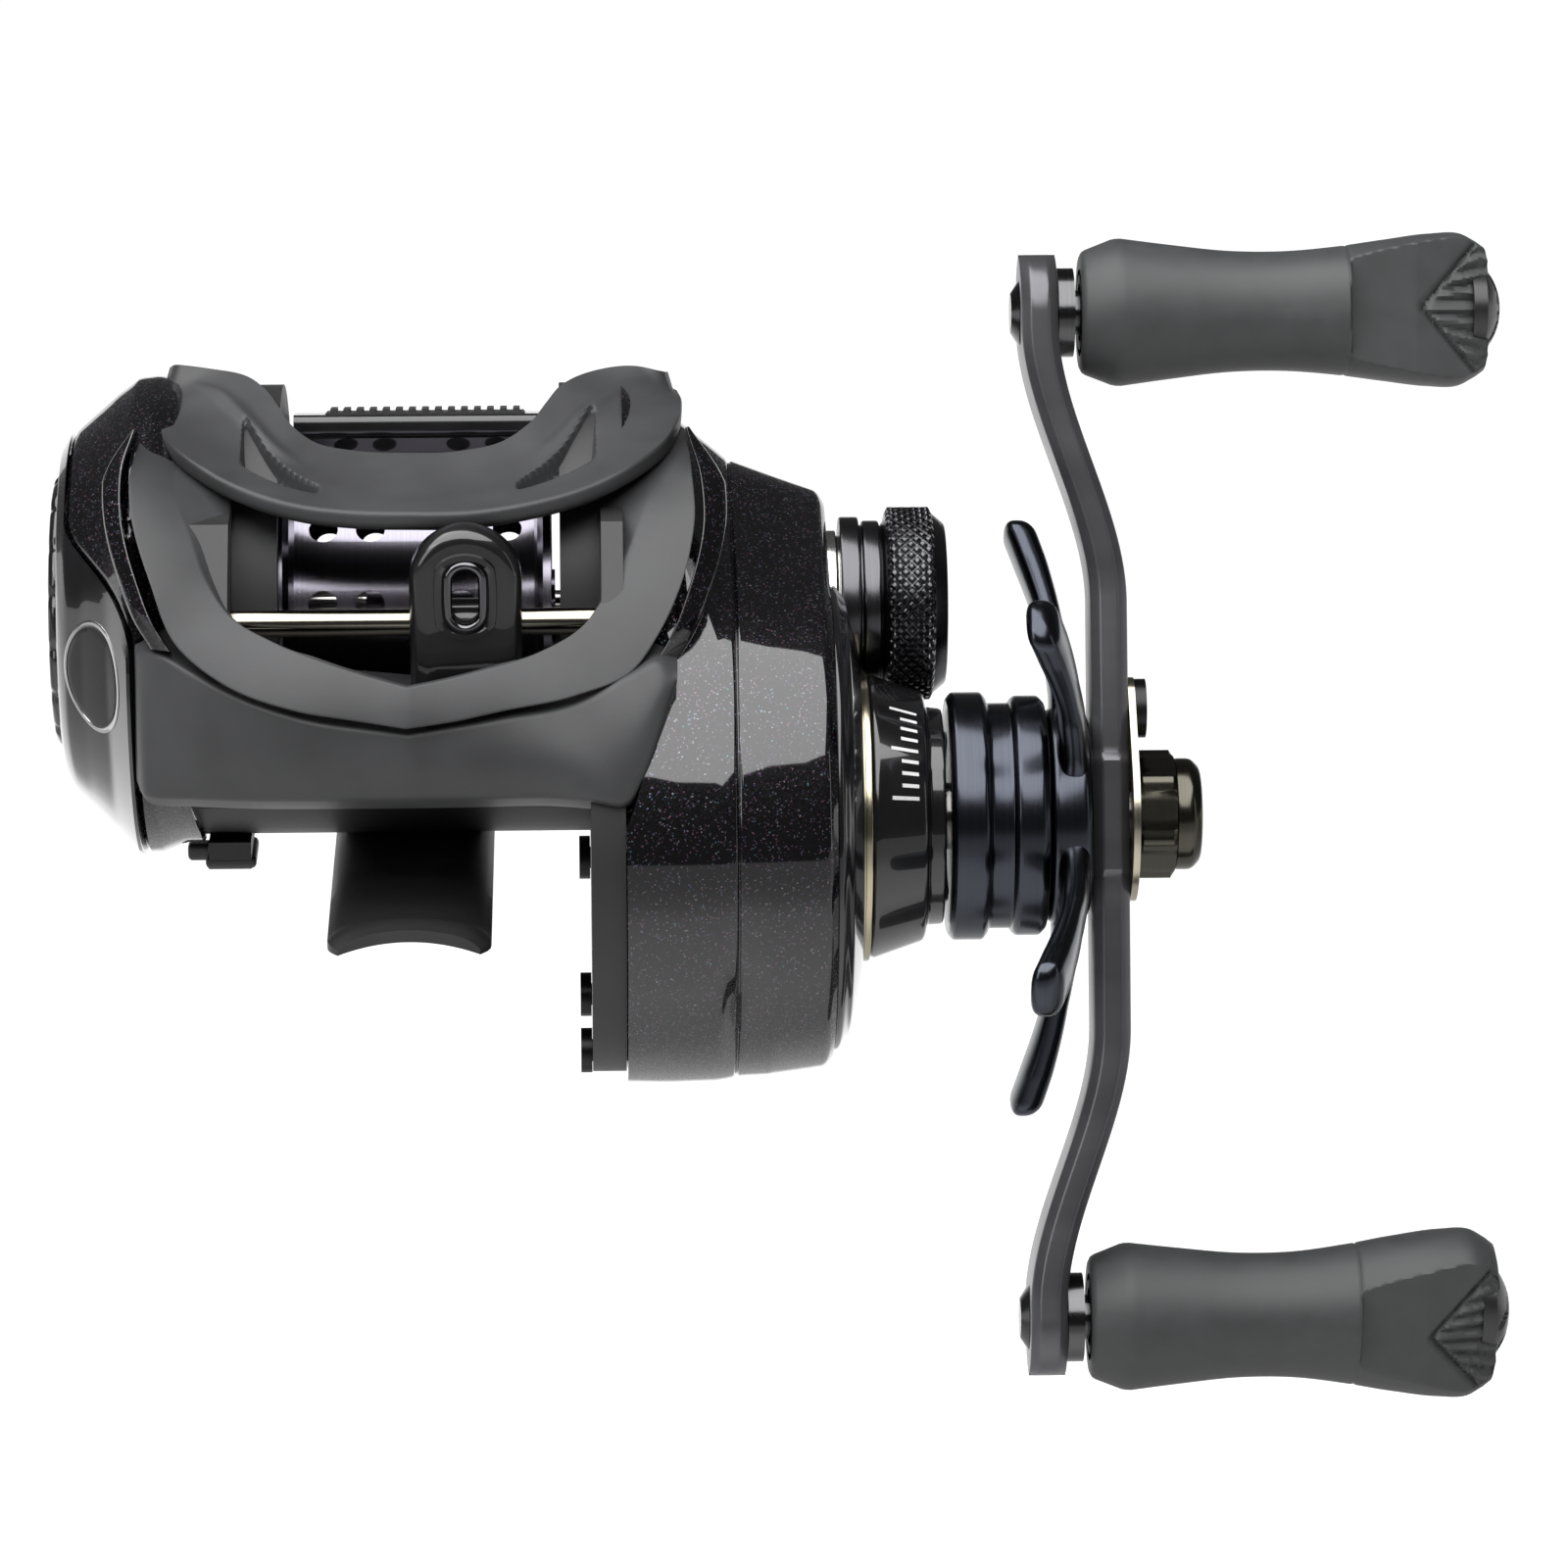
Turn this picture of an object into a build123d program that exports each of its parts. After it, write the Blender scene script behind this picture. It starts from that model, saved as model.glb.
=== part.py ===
from build123d import *
import os
from math import acos, atan2, cos, degrees, hypot, pi, radians, sin, sqrt, tan

# Low-profile baitcasting reel.  Millimetres, +Z up, +X towards the handle, -Y towards the line exit.
# The origin is the middle of the foot's underside.

# ---- driving dimensions -----------------------------------------------------------------------
SPOOL_Y, SPOOL_Z = 0.0, 22.5          # spool axis, along X
SPOOL_R = 17.0                        # spool flange radius
ARBOR_R = 11.5                        # radius on which the line is wound
SHAFT_R = 1.5                         # spool shaft
RUN = 0.05                            # radial clearance of a running fit
SEAT = 0.02                           # radial clearance of a seated piece

TOOTH_MODULE = 0.38                   # main gears
DRIVE_TEETH, PINION_TEETH = 96, 15    # 6.4 spool turns for one handle turn
DRIVE_LEAN = radians(48.19)           # drop of the drive axis in front of and below the spool axis
CENTRES = TOOTH_MODULE * (DRIVE_TEETH + PINION_TEETH) / 2 + 0.01
DRIVE_Y = SPOOL_Y - CENTRES * cos(DRIVE_LEAN)
DRIVE_Z = SPOOL_Z - CENTRES * sin(DRIVE_LEAN)
DRIVE_R = 3.0                         # drive shaft

TRAIN_MODULE = 0.5                    # level-wind gear train
TRAIN_TEETH = (21, 12, 17)            # on the drive shaft, idler, on the worm shaft
WORM_Y, WORM_Z, WORM_R = -22.5, 19.5, 2.2
BARREL_R = 3.4                        # the carriage's barrel round the worm
ROD_Y, ROD_Z, ROD_R = -23.0, 28.0, 1.2

WALL_LEFT, WALL_RIGHT = -15.3, 17.1   # inner faces of the frame's side walls
RING_OUT, RING_IN = 20.3, 17.5        # frame rings round the spool flanges
PLATE_LEFT, PLATE_RIGHT = -19.0, 19.0 # outer faces of the frame
COVER_LEFT, COVER_RIGHT = -24.0, 23.4 # sides of the nose cover
FOOT_W, FOOT_L, FOOT_RISE = 14.4, 62.0, 1.2

ARM_LEAN = 18.0                       # the handle arm leans back from upright
ARM_REACH = 45.0                      # drive axis to knob axis
ARM_X = 62.35                         # middle of the arm's thickness at the hub
ARM_T = 3.3                           # arm thickness
ARM_DROP = 5.95                       # how far the arm's ends are bent back towards the frame
KNOB_X0 = 60.2                        # knobs begin here, next to the arm
STAR_R = 28.2                         # reach of the star drag's prongs
STAR_TURN = 34.0                      # the first prong leans forward from upright by this much

MIN_ALIGN = (Align.CENTER, Align.CENTER, Align.MIN)


# ---- helpers ----------------------------------------------------------------------------------
def at(x, y=SPOOL_Y, z=SPOOL_Z):
    """A placement at (x, y, z) whose own z runs along +X, its own x along +Y, its own y along +Z."""
    return Plane(origin=(x, y, z), x_dir=(0, 1, 0), z_dir=(1, 0, 0)).location


def rod(x0, x1, r, y=SPOOL_Y, z=SPOOL_Z):
    """A round bar along X."""
    return at(x0, y, z) * Cylinder(r, x1 - x0, align=MIN_ALIGN)


def tube(x0, x1, r_out, r_in, y=SPOOL_Y, z=SPOOL_Z):
    """A round tube along X."""
    return rod(x0, x1, r_out, y, z) - rod(x0 - 1, x1 + 1, r_in, y, z)


def block(x0, x1, y0, y1, z0, z1):
    """A box between two corners."""
    return Pos((x0 + x1) / 2, (y0 + y1) / 2, (z0 + z1) / 2) * Box(x1 - x0, y1 - y0, z1 - z0)


def turned(profile, y=SPOOL_Y, z=SPOOL_Z):
    """A solid turned about the X axis through (y, z), from a closed profile of (x, radius) points."""
    wire = Polyline(*[(x, y, z + r) for x, r in profile], close=True)
    return revolve(make_face(wire), Axis((0, y, z), (1, 0, 0)), 360)


def hull_face(x, circles):
    """The flat outline at x that wraps a set of (y, z, radius) circles."""
    edges = [Pos(y, z, 0) * Edge.make_circle(r) for y, z, r in circles]
    return Plane.YZ.offset(x) * make_hull(ShapeList(edges))


def slab(x0, x1, circles):
    """A plate along X whose outline wraps a set of (y, z, radius) circles."""
    return extrude(hull_face(x0, circles), x1 - x0, dir=(1, 0, 0))


def side_face(points):
    """A flat face in the plane of the side view from (y, z) points."""
    return Plane.YZ * make_face(Polyline(*points, close=True))


def prism(face, x0, x1):
    """A side-view face carried from x0 to x1."""
    return extrude(Pos(x0, 0, 0) * face, x1 - x0, dir=(1, 0, 0))


def around(count, start=0.0, y=DRIVE_Y, z=DRIVE_Z):
    """Placements that turn a piece evenly about the X axis through (y, z)."""
    steps = [start + 360.0 * i / count for i in range(count)]
    return [Pos(0, y, z) * Rot(a, 0, 0) * Pos(0, -y, -z) for a in steps]


def polar(angle, r, y=DRIVE_Y, z=DRIVE_Z):
    """The (y, z) point at a radius and an angle from +Y towards +Z."""
    return y + r * cos(radians(angle)), z + r * sin(radians(angle))


def gear(x0, x1, teeth, module, bore, y, z, phase):
    """A spur gear with stub involute teeth.  One tooth is centred on the angle phase, in degrees."""
    pressure = radians(25)
    pitch_r = teeth * module / 2
    base_r = pitch_r * cos(pressure)
    tip_r = pitch_r + 0.8 * module
    root_r = pitch_r - 1.05 * module
    backlash = 0.12 * module

    def half_width(r):
        slope = acos(min(1.0, base_r / r))
        thickness = pi / (2 * teeth) - backlash / (2 * pitch_r)
        return thickness + (tan(pressure) - pressure) - (tan(slope) - slope)

    start_r = max(base_r, root_r)
    flank = [(start_r, half_width(start_r)), (pitch_r, half_width(pitch_r)), (tip_r, half_width(tip_r))]
    if root_r < base_r:
        flank.insert(0, (root_r, half_width(base_r)))
    points = []
    for i in range(teeth):
        centre = radians(phase) + 2 * pi * i / teeth
        points += [(r * cos(centre - h), r * sin(centre - h)) for r, h in flank]
        points += [(r * cos(centre + h), r * sin(centre + h)) for r, h in reversed(flank)]
    blank = at(x0, y, z) * extrude(make_face(Polyline(*points, close=True)), x1 - x0)
    return blank - rod(x0 - 1, x1 + 1, bore, y, z)


def bearing(x0, x1, r_out, r_in, y, z):
    """A shielded ball bearing: a ring with a shallow groove in each face between its two races."""
    mid, half = (r_out + r_in) / 2, (r_out - r_in) * 0.2
    body = tube(x0, x1, r_out, r_in, y, z)
    for a, b in ((x0 - 1, x0 + 0.25), (x1 - 0.25, x1 + 1)):
        body -= tube(a, b, mid + half, mid - half, y, z)
    return body


def screw(x_head, length, r_head, r_shank, y, z, side):
    """A cross-recessed screw along X.  side is +1 when its head faces +X and -1 when it faces -X."""
    head_end = x_head + side * 1.0
    head = rod(min(x_head, head_end), max(x_head, head_end), r_head, y, z)
    tip = x_head - side * length
    shank = rod(min(x_head, tip), max(x_head, tip), r_shank, y, z)
    near, far = sorted((head_end - side * 0.5, head_end + side * 1))
    slots = [block(near, far, y - a, y + a, z - b, z + b) for a, b in ((0.25, 1.1), (1.1, 0.25))]
    return head + shank - slots[0] - slots[1]


# ---- shared outlines --------------------------------------------------------------------------
# Side view of the nose cover: lip, slanting front, keel and underside.
NOSE = side_face([(-15, 38.9), (-22.4, 38.7), (-35.3, 24.4), (-31, 14.4), (-21.5, 8.2), (-15.5, 14.5)])
NOSE_INSIDE = offset(NOSE, -1.8, kind=Kind.INTERSECTION)
NOSE_WALLS = offset(NOSE, -2.2, kind=Kind.INTERSECTION)
NOSE_ROOM = offset(NOSE, 0.4, kind=Kind.INTERSECTION)

# Plan of the nose cover, drawn out to the keel in the middle, and of the frame walls behind it.
NOSE_PLAN = make_face(Polyline((-24, -8), (-24, -25.5), (-16, -31), (-6, -34.6), (0.3, -35.4), (7, -34.6),
                               (16, -31.2), (23.4, -26), (23.4, -8), close=True))
WALLS_PLAN = offset(NOSE_PLAN, -2.2, kind=Kind.INTERSECTION)

# The gear case tapers from the frame plate to its dome: circles on the spool axis, drive axis and rear.
CASE_FOOT = [(SPOOL_Y, SPOOL_Z, 20.9), (DRIVE_Y, DRIVE_Z, 23.6), (12.0, 14.0, 12.0)]
CASE_WAIST = [(SPOOL_Y, SPOOL_Z, 12.6), (DRIVE_Y, DRIVE_Z, 23.4), (11.0, 15.5, 9.0)]
CASE_END = [(SPOOL_Y, SPOOL_Z, 9.2), (DRIVE_Y, DRIVE_Z, 21.3), (8.0, 16.5, 7.0)]
CASE_X = (PLATE_RIGHT + 0.1, 27.5, 37.2)
CASE_BODY = loft([hull_face(CASE_X[0], CASE_FOOT), hull_face(CASE_X[1], CASE_WAIST)], ruled=True)
CASE_BODY += loft([hull_face(CASE_X[1], CASE_WAIST), hull_face(CASE_X[2], CASE_END)], ruled=True)

# Level-wind train: the idler sits off the line between the drive shaft and the worm shaft.
REACH_A = TRAIN_MODULE * (TRAIN_TEETH[0] + TRAIN_TEETH[1]) / 2 + 0.01
REACH_B = TRAIN_MODULE * (TRAIN_TEETH[1] + TRAIN_TEETH[2]) / 2 + 0.01
SPAN = hypot(WORM_Y - DRIVE_Y, WORM_Z - DRIVE_Z)
ALONG = (REACH_A**2 - REACH_B**2 + SPAN**2) / (2 * SPAN)
ASIDE = sqrt(REACH_A**2 - ALONG**2)
UNIT_Y, UNIT_Z = (WORM_Y - DRIVE_Y) / SPAN, (WORM_Z - DRIVE_Z) / SPAN
IDLER_Y = DRIVE_Y + ALONG * UNIT_Y - ASIDE * UNIT_Z
IDLER_Z = DRIVE_Z + ALONG * UNIT_Z + ASIDE * UNIT_Y
TRAIN_X0, TRAIN_X1 = 19.4, 20.9
TRAIN_POCKET = [(DRIVE_Y, DRIVE_Z, 6.4), (IDLER_Y, IDLER_Z, 4.3), (WORM_Y, WORM_Z, 5.4)]

SCREW_SPOTS = [polar(angle, 20.6) for angle in (250, 291, 332)]
RIVET_YS = (-5.0, 5.0)
YOKE_SPOTS = [polar(a, 8.6, SPOOL_Y, SPOOL_Z) for a in (20, 200)]
KNOB_UP = polar(90 - ARM_LEAN, ARM_REACH)
KNOB_DOWN = polar(270 - ARM_LEAN, ARM_REACH)


# ---- frame and housings -----------------------------------------------------------------------
def frame():
    """One-piece cast frame: two rings, two forward walls, a guard under the spool and a gear plate."""
    left = tube(PLATE_LEFT, -11.3, RING_OUT, RING_IN)
    nose_walls = extrude(WALLS_PLAN, 50)
    left += prism(NOSE_WALLS, PLATE_LEFT, WALL_LEFT) & nose_walls - rod(-30, 30, RING_OUT - 0.5)
    gear_plate = slab(16.0, PLATE_RIGHT, [(SPOOL_Y, SPOOL_Z, RING_OUT), (DRIVE_Y, DRIVE_Z, 22.5)])
    gear_plate -= prism(NOSE_ROOM, 0, 30) - rod(0, 30, RING_OUT)
    gear_plate += rod(16.0, PLATE_RIGHT, RING_OUT)
    gear_plate += prism(NOSE_WALLS, WALL_RIGHT, PLATE_RIGHT) & nose_walls
    right = tube(13.5, 16.5, RING_OUT, RING_IN)
    guard = tube(-12, 14, RING_OUT, 18.2)
    guard -= block(-12.5, 14.5, -30, 30, SPOOL_Z - 5, 60)
    guard -= block(-12.5, 14.5, -30, -16, -5, 60)
    beam = block(PLATE_LEFT, PLATE_RIGHT, -24.6, -17.6, 11.6, 13.6)
    body = left + gear_plate + right + guard + beam
    post = rod(PLATE_RIGHT - 0.5, TRAIN_X1 + 0.4, 1.2, IDLER_Y, IDLER_Z)
    body += post
    body -= rod(15.5, 30, 3.5)                                   # pinion runs through
    body -= rod(16.5, 30, 5.2)                                   # pinion bearing pocket
    body -= rod(16.6, 30, 5.0 + SEAT, DRIVE_Y, DRIVE_Z)          # drive shaft bearing pocket
    for y, z in YOKE_SPOTS:
        body -= rod(17.0, 30, 0.8 + SEAT, y, z)
    for y, z in SCREW_SPOTS:
        body -= rod(10, 30, 1.1, y, z)
    rod_length = (WALL_LEFT - 2.0, PLATE_RIGHT - 0.6)
    body -= rod(*rod_length, ROD_R + SEAT, ROD_Y, ROD_Z)
    body -= rod(WALL_LEFT - 2.4, 30, 3.3 + SEAT, WORM_Y, WORM_Z)
    body -= rod(WALL_LEFT, WALL_RIGHT, BARREL_R + 0.4, WORM_Y, WORM_Z)   # path of the carriage's barrel
    body += block(-18.4, -14.6, -9.5, 1.0, 1.75, 3.4)            # pad that the side latch slides under
    body -= block(-8, 8, -10, 10, 0, 2.3)                        # flat seat for the foot
    for y in RIVET_YS:
        body -= Pos(0, y, 0) * Cylinder(1.1, 14)
    return body


def reel_foot():
    """Saddle foot: a plate arched across its width, thinned to its tips, with a flat pad in the middle."""
    half_w, half_l = FOOT_W / 2, FOOT_L / 2
    land = 0.9
    arch_r = ((half_w - land) ** 2 + FOOT_RISE**2) / (2 * FOOT_RISE)
    plan = Rectangle(FOOT_W, FOOT_L)
    plan = fillet(plan.vertices(), 4.0)
    top_r = arch_r + 3.2
    body = extrude(plan, 4)
    body &= Pos(0, 0, FOOT_RISE + 1.75 - top_r) * Rot(90, 0, 0) * Cylinder(top_r, FOOT_L + 2)
    body &= block(-10, 10, -half_l, half_l, 0, 2.3)
    body -= Pos(0, 0, FOOT_RISE - arch_r) * Rot(90, 0, 0) * Cylinder(arch_r, FOOT_L + 2)
    body += block(-4.5, 4.5, -9, 9, 0, 2.3)
    for y in RIVET_YS:
        body -= Pos(0, y, 0) * Cylinder(1.1, 8)
        body -= Pos(0, y, 0) * Cylinder(2.1, 1.4)
    return body


def foot_rivets():
    """Two rivets that hold the foot to the frame, with countersunk heads below."""
    rivets = []
    for y in RIVET_YS:
        shank = Pos(0, y, 0.1) * Cylinder(1.05, 3.9, align=MIN_ALIGN)
        head = Pos(0, y, 0.1) * Cylinder(2.0, 0.55, align=MIN_ALIGN)
        rivets.append(shank + head)
    return Compound(children=rivets)


def front_cover():
    """Nose cover: hood with two horns, slanting bezel with a V-shaped keel, and the panel below it."""
    nose = prism(NOSE, COVER_LEFT, COVER_RIGHT)
    nose &= extrude(NOSE_PLAN, 50)
    nose -= prism(NOSE_INSIDE, PLATE_LEFT - 0.3, PLATE_RIGHT + 0.3)
    hood_line = [(3.5, 44.0), (-2.0, 43.6), (-10.0, 41.2), (-21.8, 39.2), (-22.6, 37.0), (-15, 37.4),
                 (3.5, 40.0)]
    hood = prism(side_face(hood_line), -21.2, 23.4)
    hood -= block(-13.4, 15.6, -9.6, 20, 30, 60)
    cover = nose + hood
    window = block(WALL_LEFT - 0.2, WALL_RIGHT + 0.2, -50, -15, 24.6, 37.3)
    funnel_in = Plane.XZ.offset(24) * make_face(
        Polyline((-15.4, 24.6), (17.2, 24.6), (17.2, 37.3), (-15.4, 37.3), close=True))
    funnel_out = Plane.XZ.offset(37) * make_face(
        Polyline((-19.0, 25.2), (20.5, 25.2), (22.0, 37.3), (-20.5, 37.3), close=True))
    cover -= window
    cover -= loft([funnel_in, funnel_out], ruled=True)
    cover -= rod(-40, 40, RING_OUT + 0.3)
    cover -= rod(-40, PLATE_LEFT - 0.3, 21.2)
    cover -= CASE_BODY - prism(NOSE_ROOM, 0, COVER_RIGHT + 0.4)
    cover -= slab(PLATE_RIGHT - 0.2, TRAIN_X1 + 0.6, TRAIN_POCKET)
    cover -= slab(15.8, PLATE_RIGHT + 0.3, [(SPOOL_Y, SPOOL_Z, RING_OUT), (DRIVE_Y, DRIVE_Z, 22.8)]) - prism(
        NOSE_ROOM, 0, 30)
    cover -= block(PLATE_LEFT - 0.2, PLATE_RIGHT + 0.2, -24.9, -17.3, 11.3, 13.9)
    return max(cover.solids(), key=lambda s: s.volume)


def gear_case():
    """Gear-side cover: a tapering shell over the main gears, the clutch and the drag stack."""
    body = CASE_BODY - (prism(NOSE_ROOM, 0, COVER_RIGHT + 0.4) - rod(0, 40, RING_OUT))
    body -= slab(CASE_X[0] - 1, 25.2, [(SPOOL_Y, SPOOL_Z, 11.2), (DRIVE_Y, DRIVE_Z, 9.0)])
    body -= slab(CASE_X[0] - 1, TRAIN_X1 + 0.6, TRAIN_POCKET)
    body -= rod(25.1, 33.0, 19.5, DRIVE_Y, DRIVE_Z)
    body -= rod(25.1, 33.0, 8.4)
    body -= rod(32, 40, 8.0 + SEAT, DRIVE_Y, DRIVE_Z)
    body -= rod(32, 40, 5.4 + SEAT)
    body -= rod(36.8, 40, 6.7 + SEAT)
    for y, z in SCREW_SPOTS:
        body -= rod(15, 22.4, 1.1, y, z)
    return max(body.solids(), key=lambda s: s.volume)


def case_dome():
    """Gloss insert on the gear case's outer face, dished up to the drag boss."""
    body = turned([(37.2, 8.1), (37.2, 20.9), (38.2, 20.6), (39.0, 18.6), (39.8, 15.4), (40.1, 12.7),
                   (40.1, 8.1)], DRIVE_Y, DRIVE_Z)
    return body - rod(36, 42, 8.6)


def housing_screws():
    """Three screws that hold the gear case to the frame plate."""
    return Compound(children=[screw(15.95, 5.8, 2.0, 1.0, y, z, -1) for y, z in SCREW_SPOTS])


def drag_boss():
    """Cone on the drive axis that carries the one-way bearing, with a short neck towards the star."""
    outline = [(40.9, 5.3), (40.9, 12.7), (45.8, 11.1), (46.2, 9.8), (47.4, 9.8), (47.4, 5.3)]
    cone = turned(outline, DRIVE_Y, DRIVE_Z)
    spigot = tube(38.6, 41.0, 8.0, 5.3, DRIVE_Y, DRIVE_Z)
    return cone + spigot


def cap_boss():
    """Silver collar on the spool axis with a threaded nose and a seat for the right spool bearing."""
    body = turned([(33.2, 2.2), (33.2, 5.4), (36.9, 5.4), (36.9, 6.7), (38.4, 6.7), (38.4, 6.2), (43.4, 6.2),
                   (43.4, 2.2)])
    body -= rod(34.6, 45, 4.0 + SEAT)
    return body


# ---- foot to spool: turning pieces ------------------------------------------------------------
def spool():
    """Drilled aluminium spool: arbor tube, two flanges, a web and a hub."""
    arbor = tube(-10.6, 11.6, ARBOR_R, 10.3)
    for x, count in ((-7.6, 10), (-3.4, 10), (4.6, 10), (8.8, 10)):
        for k in range(count // 2):
            turn = 180.0 / (count // 2) * k
            arbor -= Pos(x, 0, 0) * Pos(0, SPOOL_Y, SPOOL_Z) * Rot(turn, 0, 0) * Cylinder(1.3, 40)
    flange = [(0, 10.3), (0, SPOOL_R), (0.7, SPOOL_R), (1.2, 15.5), (1.5, ARBOR_R), (1.5, 10.3)]
    left = turned([(-11.7 + x, r) for x, r in flange])
    right = turned([(12.7 - x, r) for x, r in flange])
    web = tube(0.0, 1.4, 10.6, 3.0)
    hub = tube(-4.0, 13.0, 3.4, SHAFT_R + SEAT)
    return arbor + left + right + web + hub


def pinion_gear():
    """Sliding pinion: clutch end with a cross slot, groove for the yoke, teeth and a plain tail."""
    phase = 180 + degrees(atan2(DRIVE_Z - SPOOL_Z, DRIVE_Y - SPOOL_Y)) + 180 + 180 / PINION_TEETH
    teeth = gear(22.6, 31.0, PINION_TEETH, TOOTH_MODULE, SHAFT_R + 0.2, SPOOL_Y, SPOOL_Z, phase)
    neck = tube(14.6, 19.9, 3.15, SHAFT_R + 0.2)
    groove = tube(19.8, 21.6, 2.3, SHAFT_R + 0.2)
    shoulder = tube(21.5, 22.7, 3.15, SHAFT_R + 0.2)
    body = teeth + neck + groove + shoulder
    return body - block(14, 16.3, -5, 5, SPOOL_Z - 0.65, SPOOL_Z + 0.65)


def drive_gear():
    """Main gear on the drive shaft, in mesh with the pinion."""
    phase = degrees(atan2(SPOOL_Z - DRIVE_Z, SPOOL_Y - DRIVE_Y))
    body = gear(25.6, 28.4, DRIVE_TEETH, TOOTH_MODULE, DRIVE_R + SEAT, DRIVE_Y, DRIVE_Z, phase)
    return body - tube(25.0, 26.6, 15.0, 6.5, DRIVE_Y, DRIVE_Z)


def train_gear(which, bore, x1=TRAIN_X1):
    """One gear of the level-wind train: 0 on the drive shaft, 1 the idler, 2 on the worm shaft."""
    first = degrees(atan2(IDLER_Z - DRIVE_Z, IDLER_Y - DRIVE_Y))
    second = degrees(atan2(WORM_Z - IDLER_Z, WORM_Y - IDLER_Y))
    idler_phase = first + 180 + 180 / TRAIN_TEETH[1]
    # the idler's tooth nearest the second line of centres sets where the worm gear needs a gap
    pitch = 360 / TRAIN_TEETH[1]
    ahead = ((second - idler_phase) / pitch - round((second - idler_phase) / pitch)) * pitch
    worm_phase = second + 180 + ahead * TRAIN_TEETH[1] / TRAIN_TEETH[2] + 180 / TRAIN_TEETH[2]
    spots = ((DRIVE_Y, DRIVE_Z, first), (IDLER_Y, IDLER_Z, idler_phase), (WORM_Y, WORM_Z, worm_phase))
    y, z, phase = spots[which]
    return gear(TRAIN_X0, x1, TRAIN_TEETH[which], TRAIN_MODULE, bore, y, z, phase)


def clutch_yoke():
    """Flat yoke that straddles the pinion's groove and slides on two pins."""
    spots = [(y, z, 1.9) for y, z in YOKE_SPOTS]
    body = slab(20.2, 21.3, spots + [(SPOOL_Y, SPOOL_Z, 4.6)])
    body -= rod(19, 23, 2.3 + 0.1)
    for y, z in YOKE_SPOTS:
        body -= rod(19, 23, 0.8 + RUN, y, z)
    return body


def worm_shaft():
    """Level-wind worm shaft with stepped ends; the crossed thread runs between the frame walls."""
    body = rod(WALL_LEFT - 2.2, TRAIN_X1 + 0.4, 1.5, WORM_Y, WORM_Z)
    body += rod(WALL_LEFT + 0.4, WALL_RIGHT - 0.4, WORM_R, WORM_Y, WORM_Z)
    return body


def worm_bushings():
    """Two plain bushings that carry the worm shaft in the frame walls."""
    left = tube(WALL_LEFT - 2.3, WALL_LEFT, 3.3, 1.5 + RUN, WORM_Y, WORM_Z)
    right = tube(WALL_RIGHT, PLATE_RIGHT, 3.3, 1.5 + RUN, WORM_Y, WORM_Z)
    return Compound(children=[left, right])


GUIDE_X, GUIDE_HALF = 5.3, 4.9
GUIDE_BACK = -24.1                    # back face of the carriage's arched plate
ARCH_Z, EYE_Z = 31.9, 31.4


def line_guide():
    """Level-wind carriage: arched plate round the eye, a slide on the rod and a barrel round the worm."""
    x0, x1 = GUIDE_X - GUIDE_HALF, GUIDE_X + GUIDE_HALF
    arch = Pos(GUIDE_X, ARCH_Z) * Circle(GUIDE_HALF)
    arch += Pos(GUIDE_X, ARCH_Z - 5.3) * Rectangle(2 * GUIDE_HALF, 10.6)
    plate = extrude(Plane.XZ.offset(-GUIDE_BACK) * arch, 2.8)
    slide = rod(x0, x1, 2.1, ROD_Y, ROD_Z)
    barrel = rod(x0, x1, BARREL_R, WORM_Y, WORM_Z)
    spine = block(x0 + 1.2, x1 - 1.2, -25.4, -21.6, 19.5, 28)
    body = plate + slide + barrel + spine
    body -= rod(x0 - 1, x1 + 1, ROD_R + RUN, ROD_Y, ROD_Z)
    body -= rod(x0 - 1, x1 + 1, WORM_R + RUN, WORM_Y, WORM_Z)
    body -= Pos(GUIDE_X, GUIDE_BACK - 0.1, EYE_Z) * Rot(90, 0, 0) * extrude(Ellipse(2.5, 3.6), 12)
    body -= Pos(GUIDE_X, WORM_Y, WORM_Z - 5) * Cylinder(1.4 + SEAT, 6)
    return body


def guide_eye():
    """Hard ring insert with an oval hole that the line runs through."""
    outer = extrude(Ellipse(2.5 - SEAT, 3.6 - SEAT), 2.75)
    outer += Pos(0, 0, 2.72) * extrude(Ellipse(3.0, 4.1), 0.5)
    outer -= extrude(SlotOverall(5.3, 2.7, rotation=90), 5, both=True)
    return Pos(GUIDE_X, GUIDE_BACK - 0.12, EYE_Z) * Rot(90, 0, 0) * outer


def level_pawl():
    """Small pin in the foot of the carriage whose tip follows the worm's thread."""
    return Pos(GUIDE_X, WORM_Y, WORM_Z - 5.0) * Cylinder(1.4, 2.6, align=MIN_ALIGN)


# ---- palm side --------------------------------------------------------------------------------
PALM_LINE = [(-19.3, 19.9), (-22.2, 20.4), (-24.2, 19.6), (-28.2, 15.9), (-29.6, 14.2)]
BADGE_AT = Pos(0, SPOOL_Y, SPOOL_Z) * Rot(15, 0, 0) * Pos(-26.6, -17.35, 0) * Rot(0, 0, 43)


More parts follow.
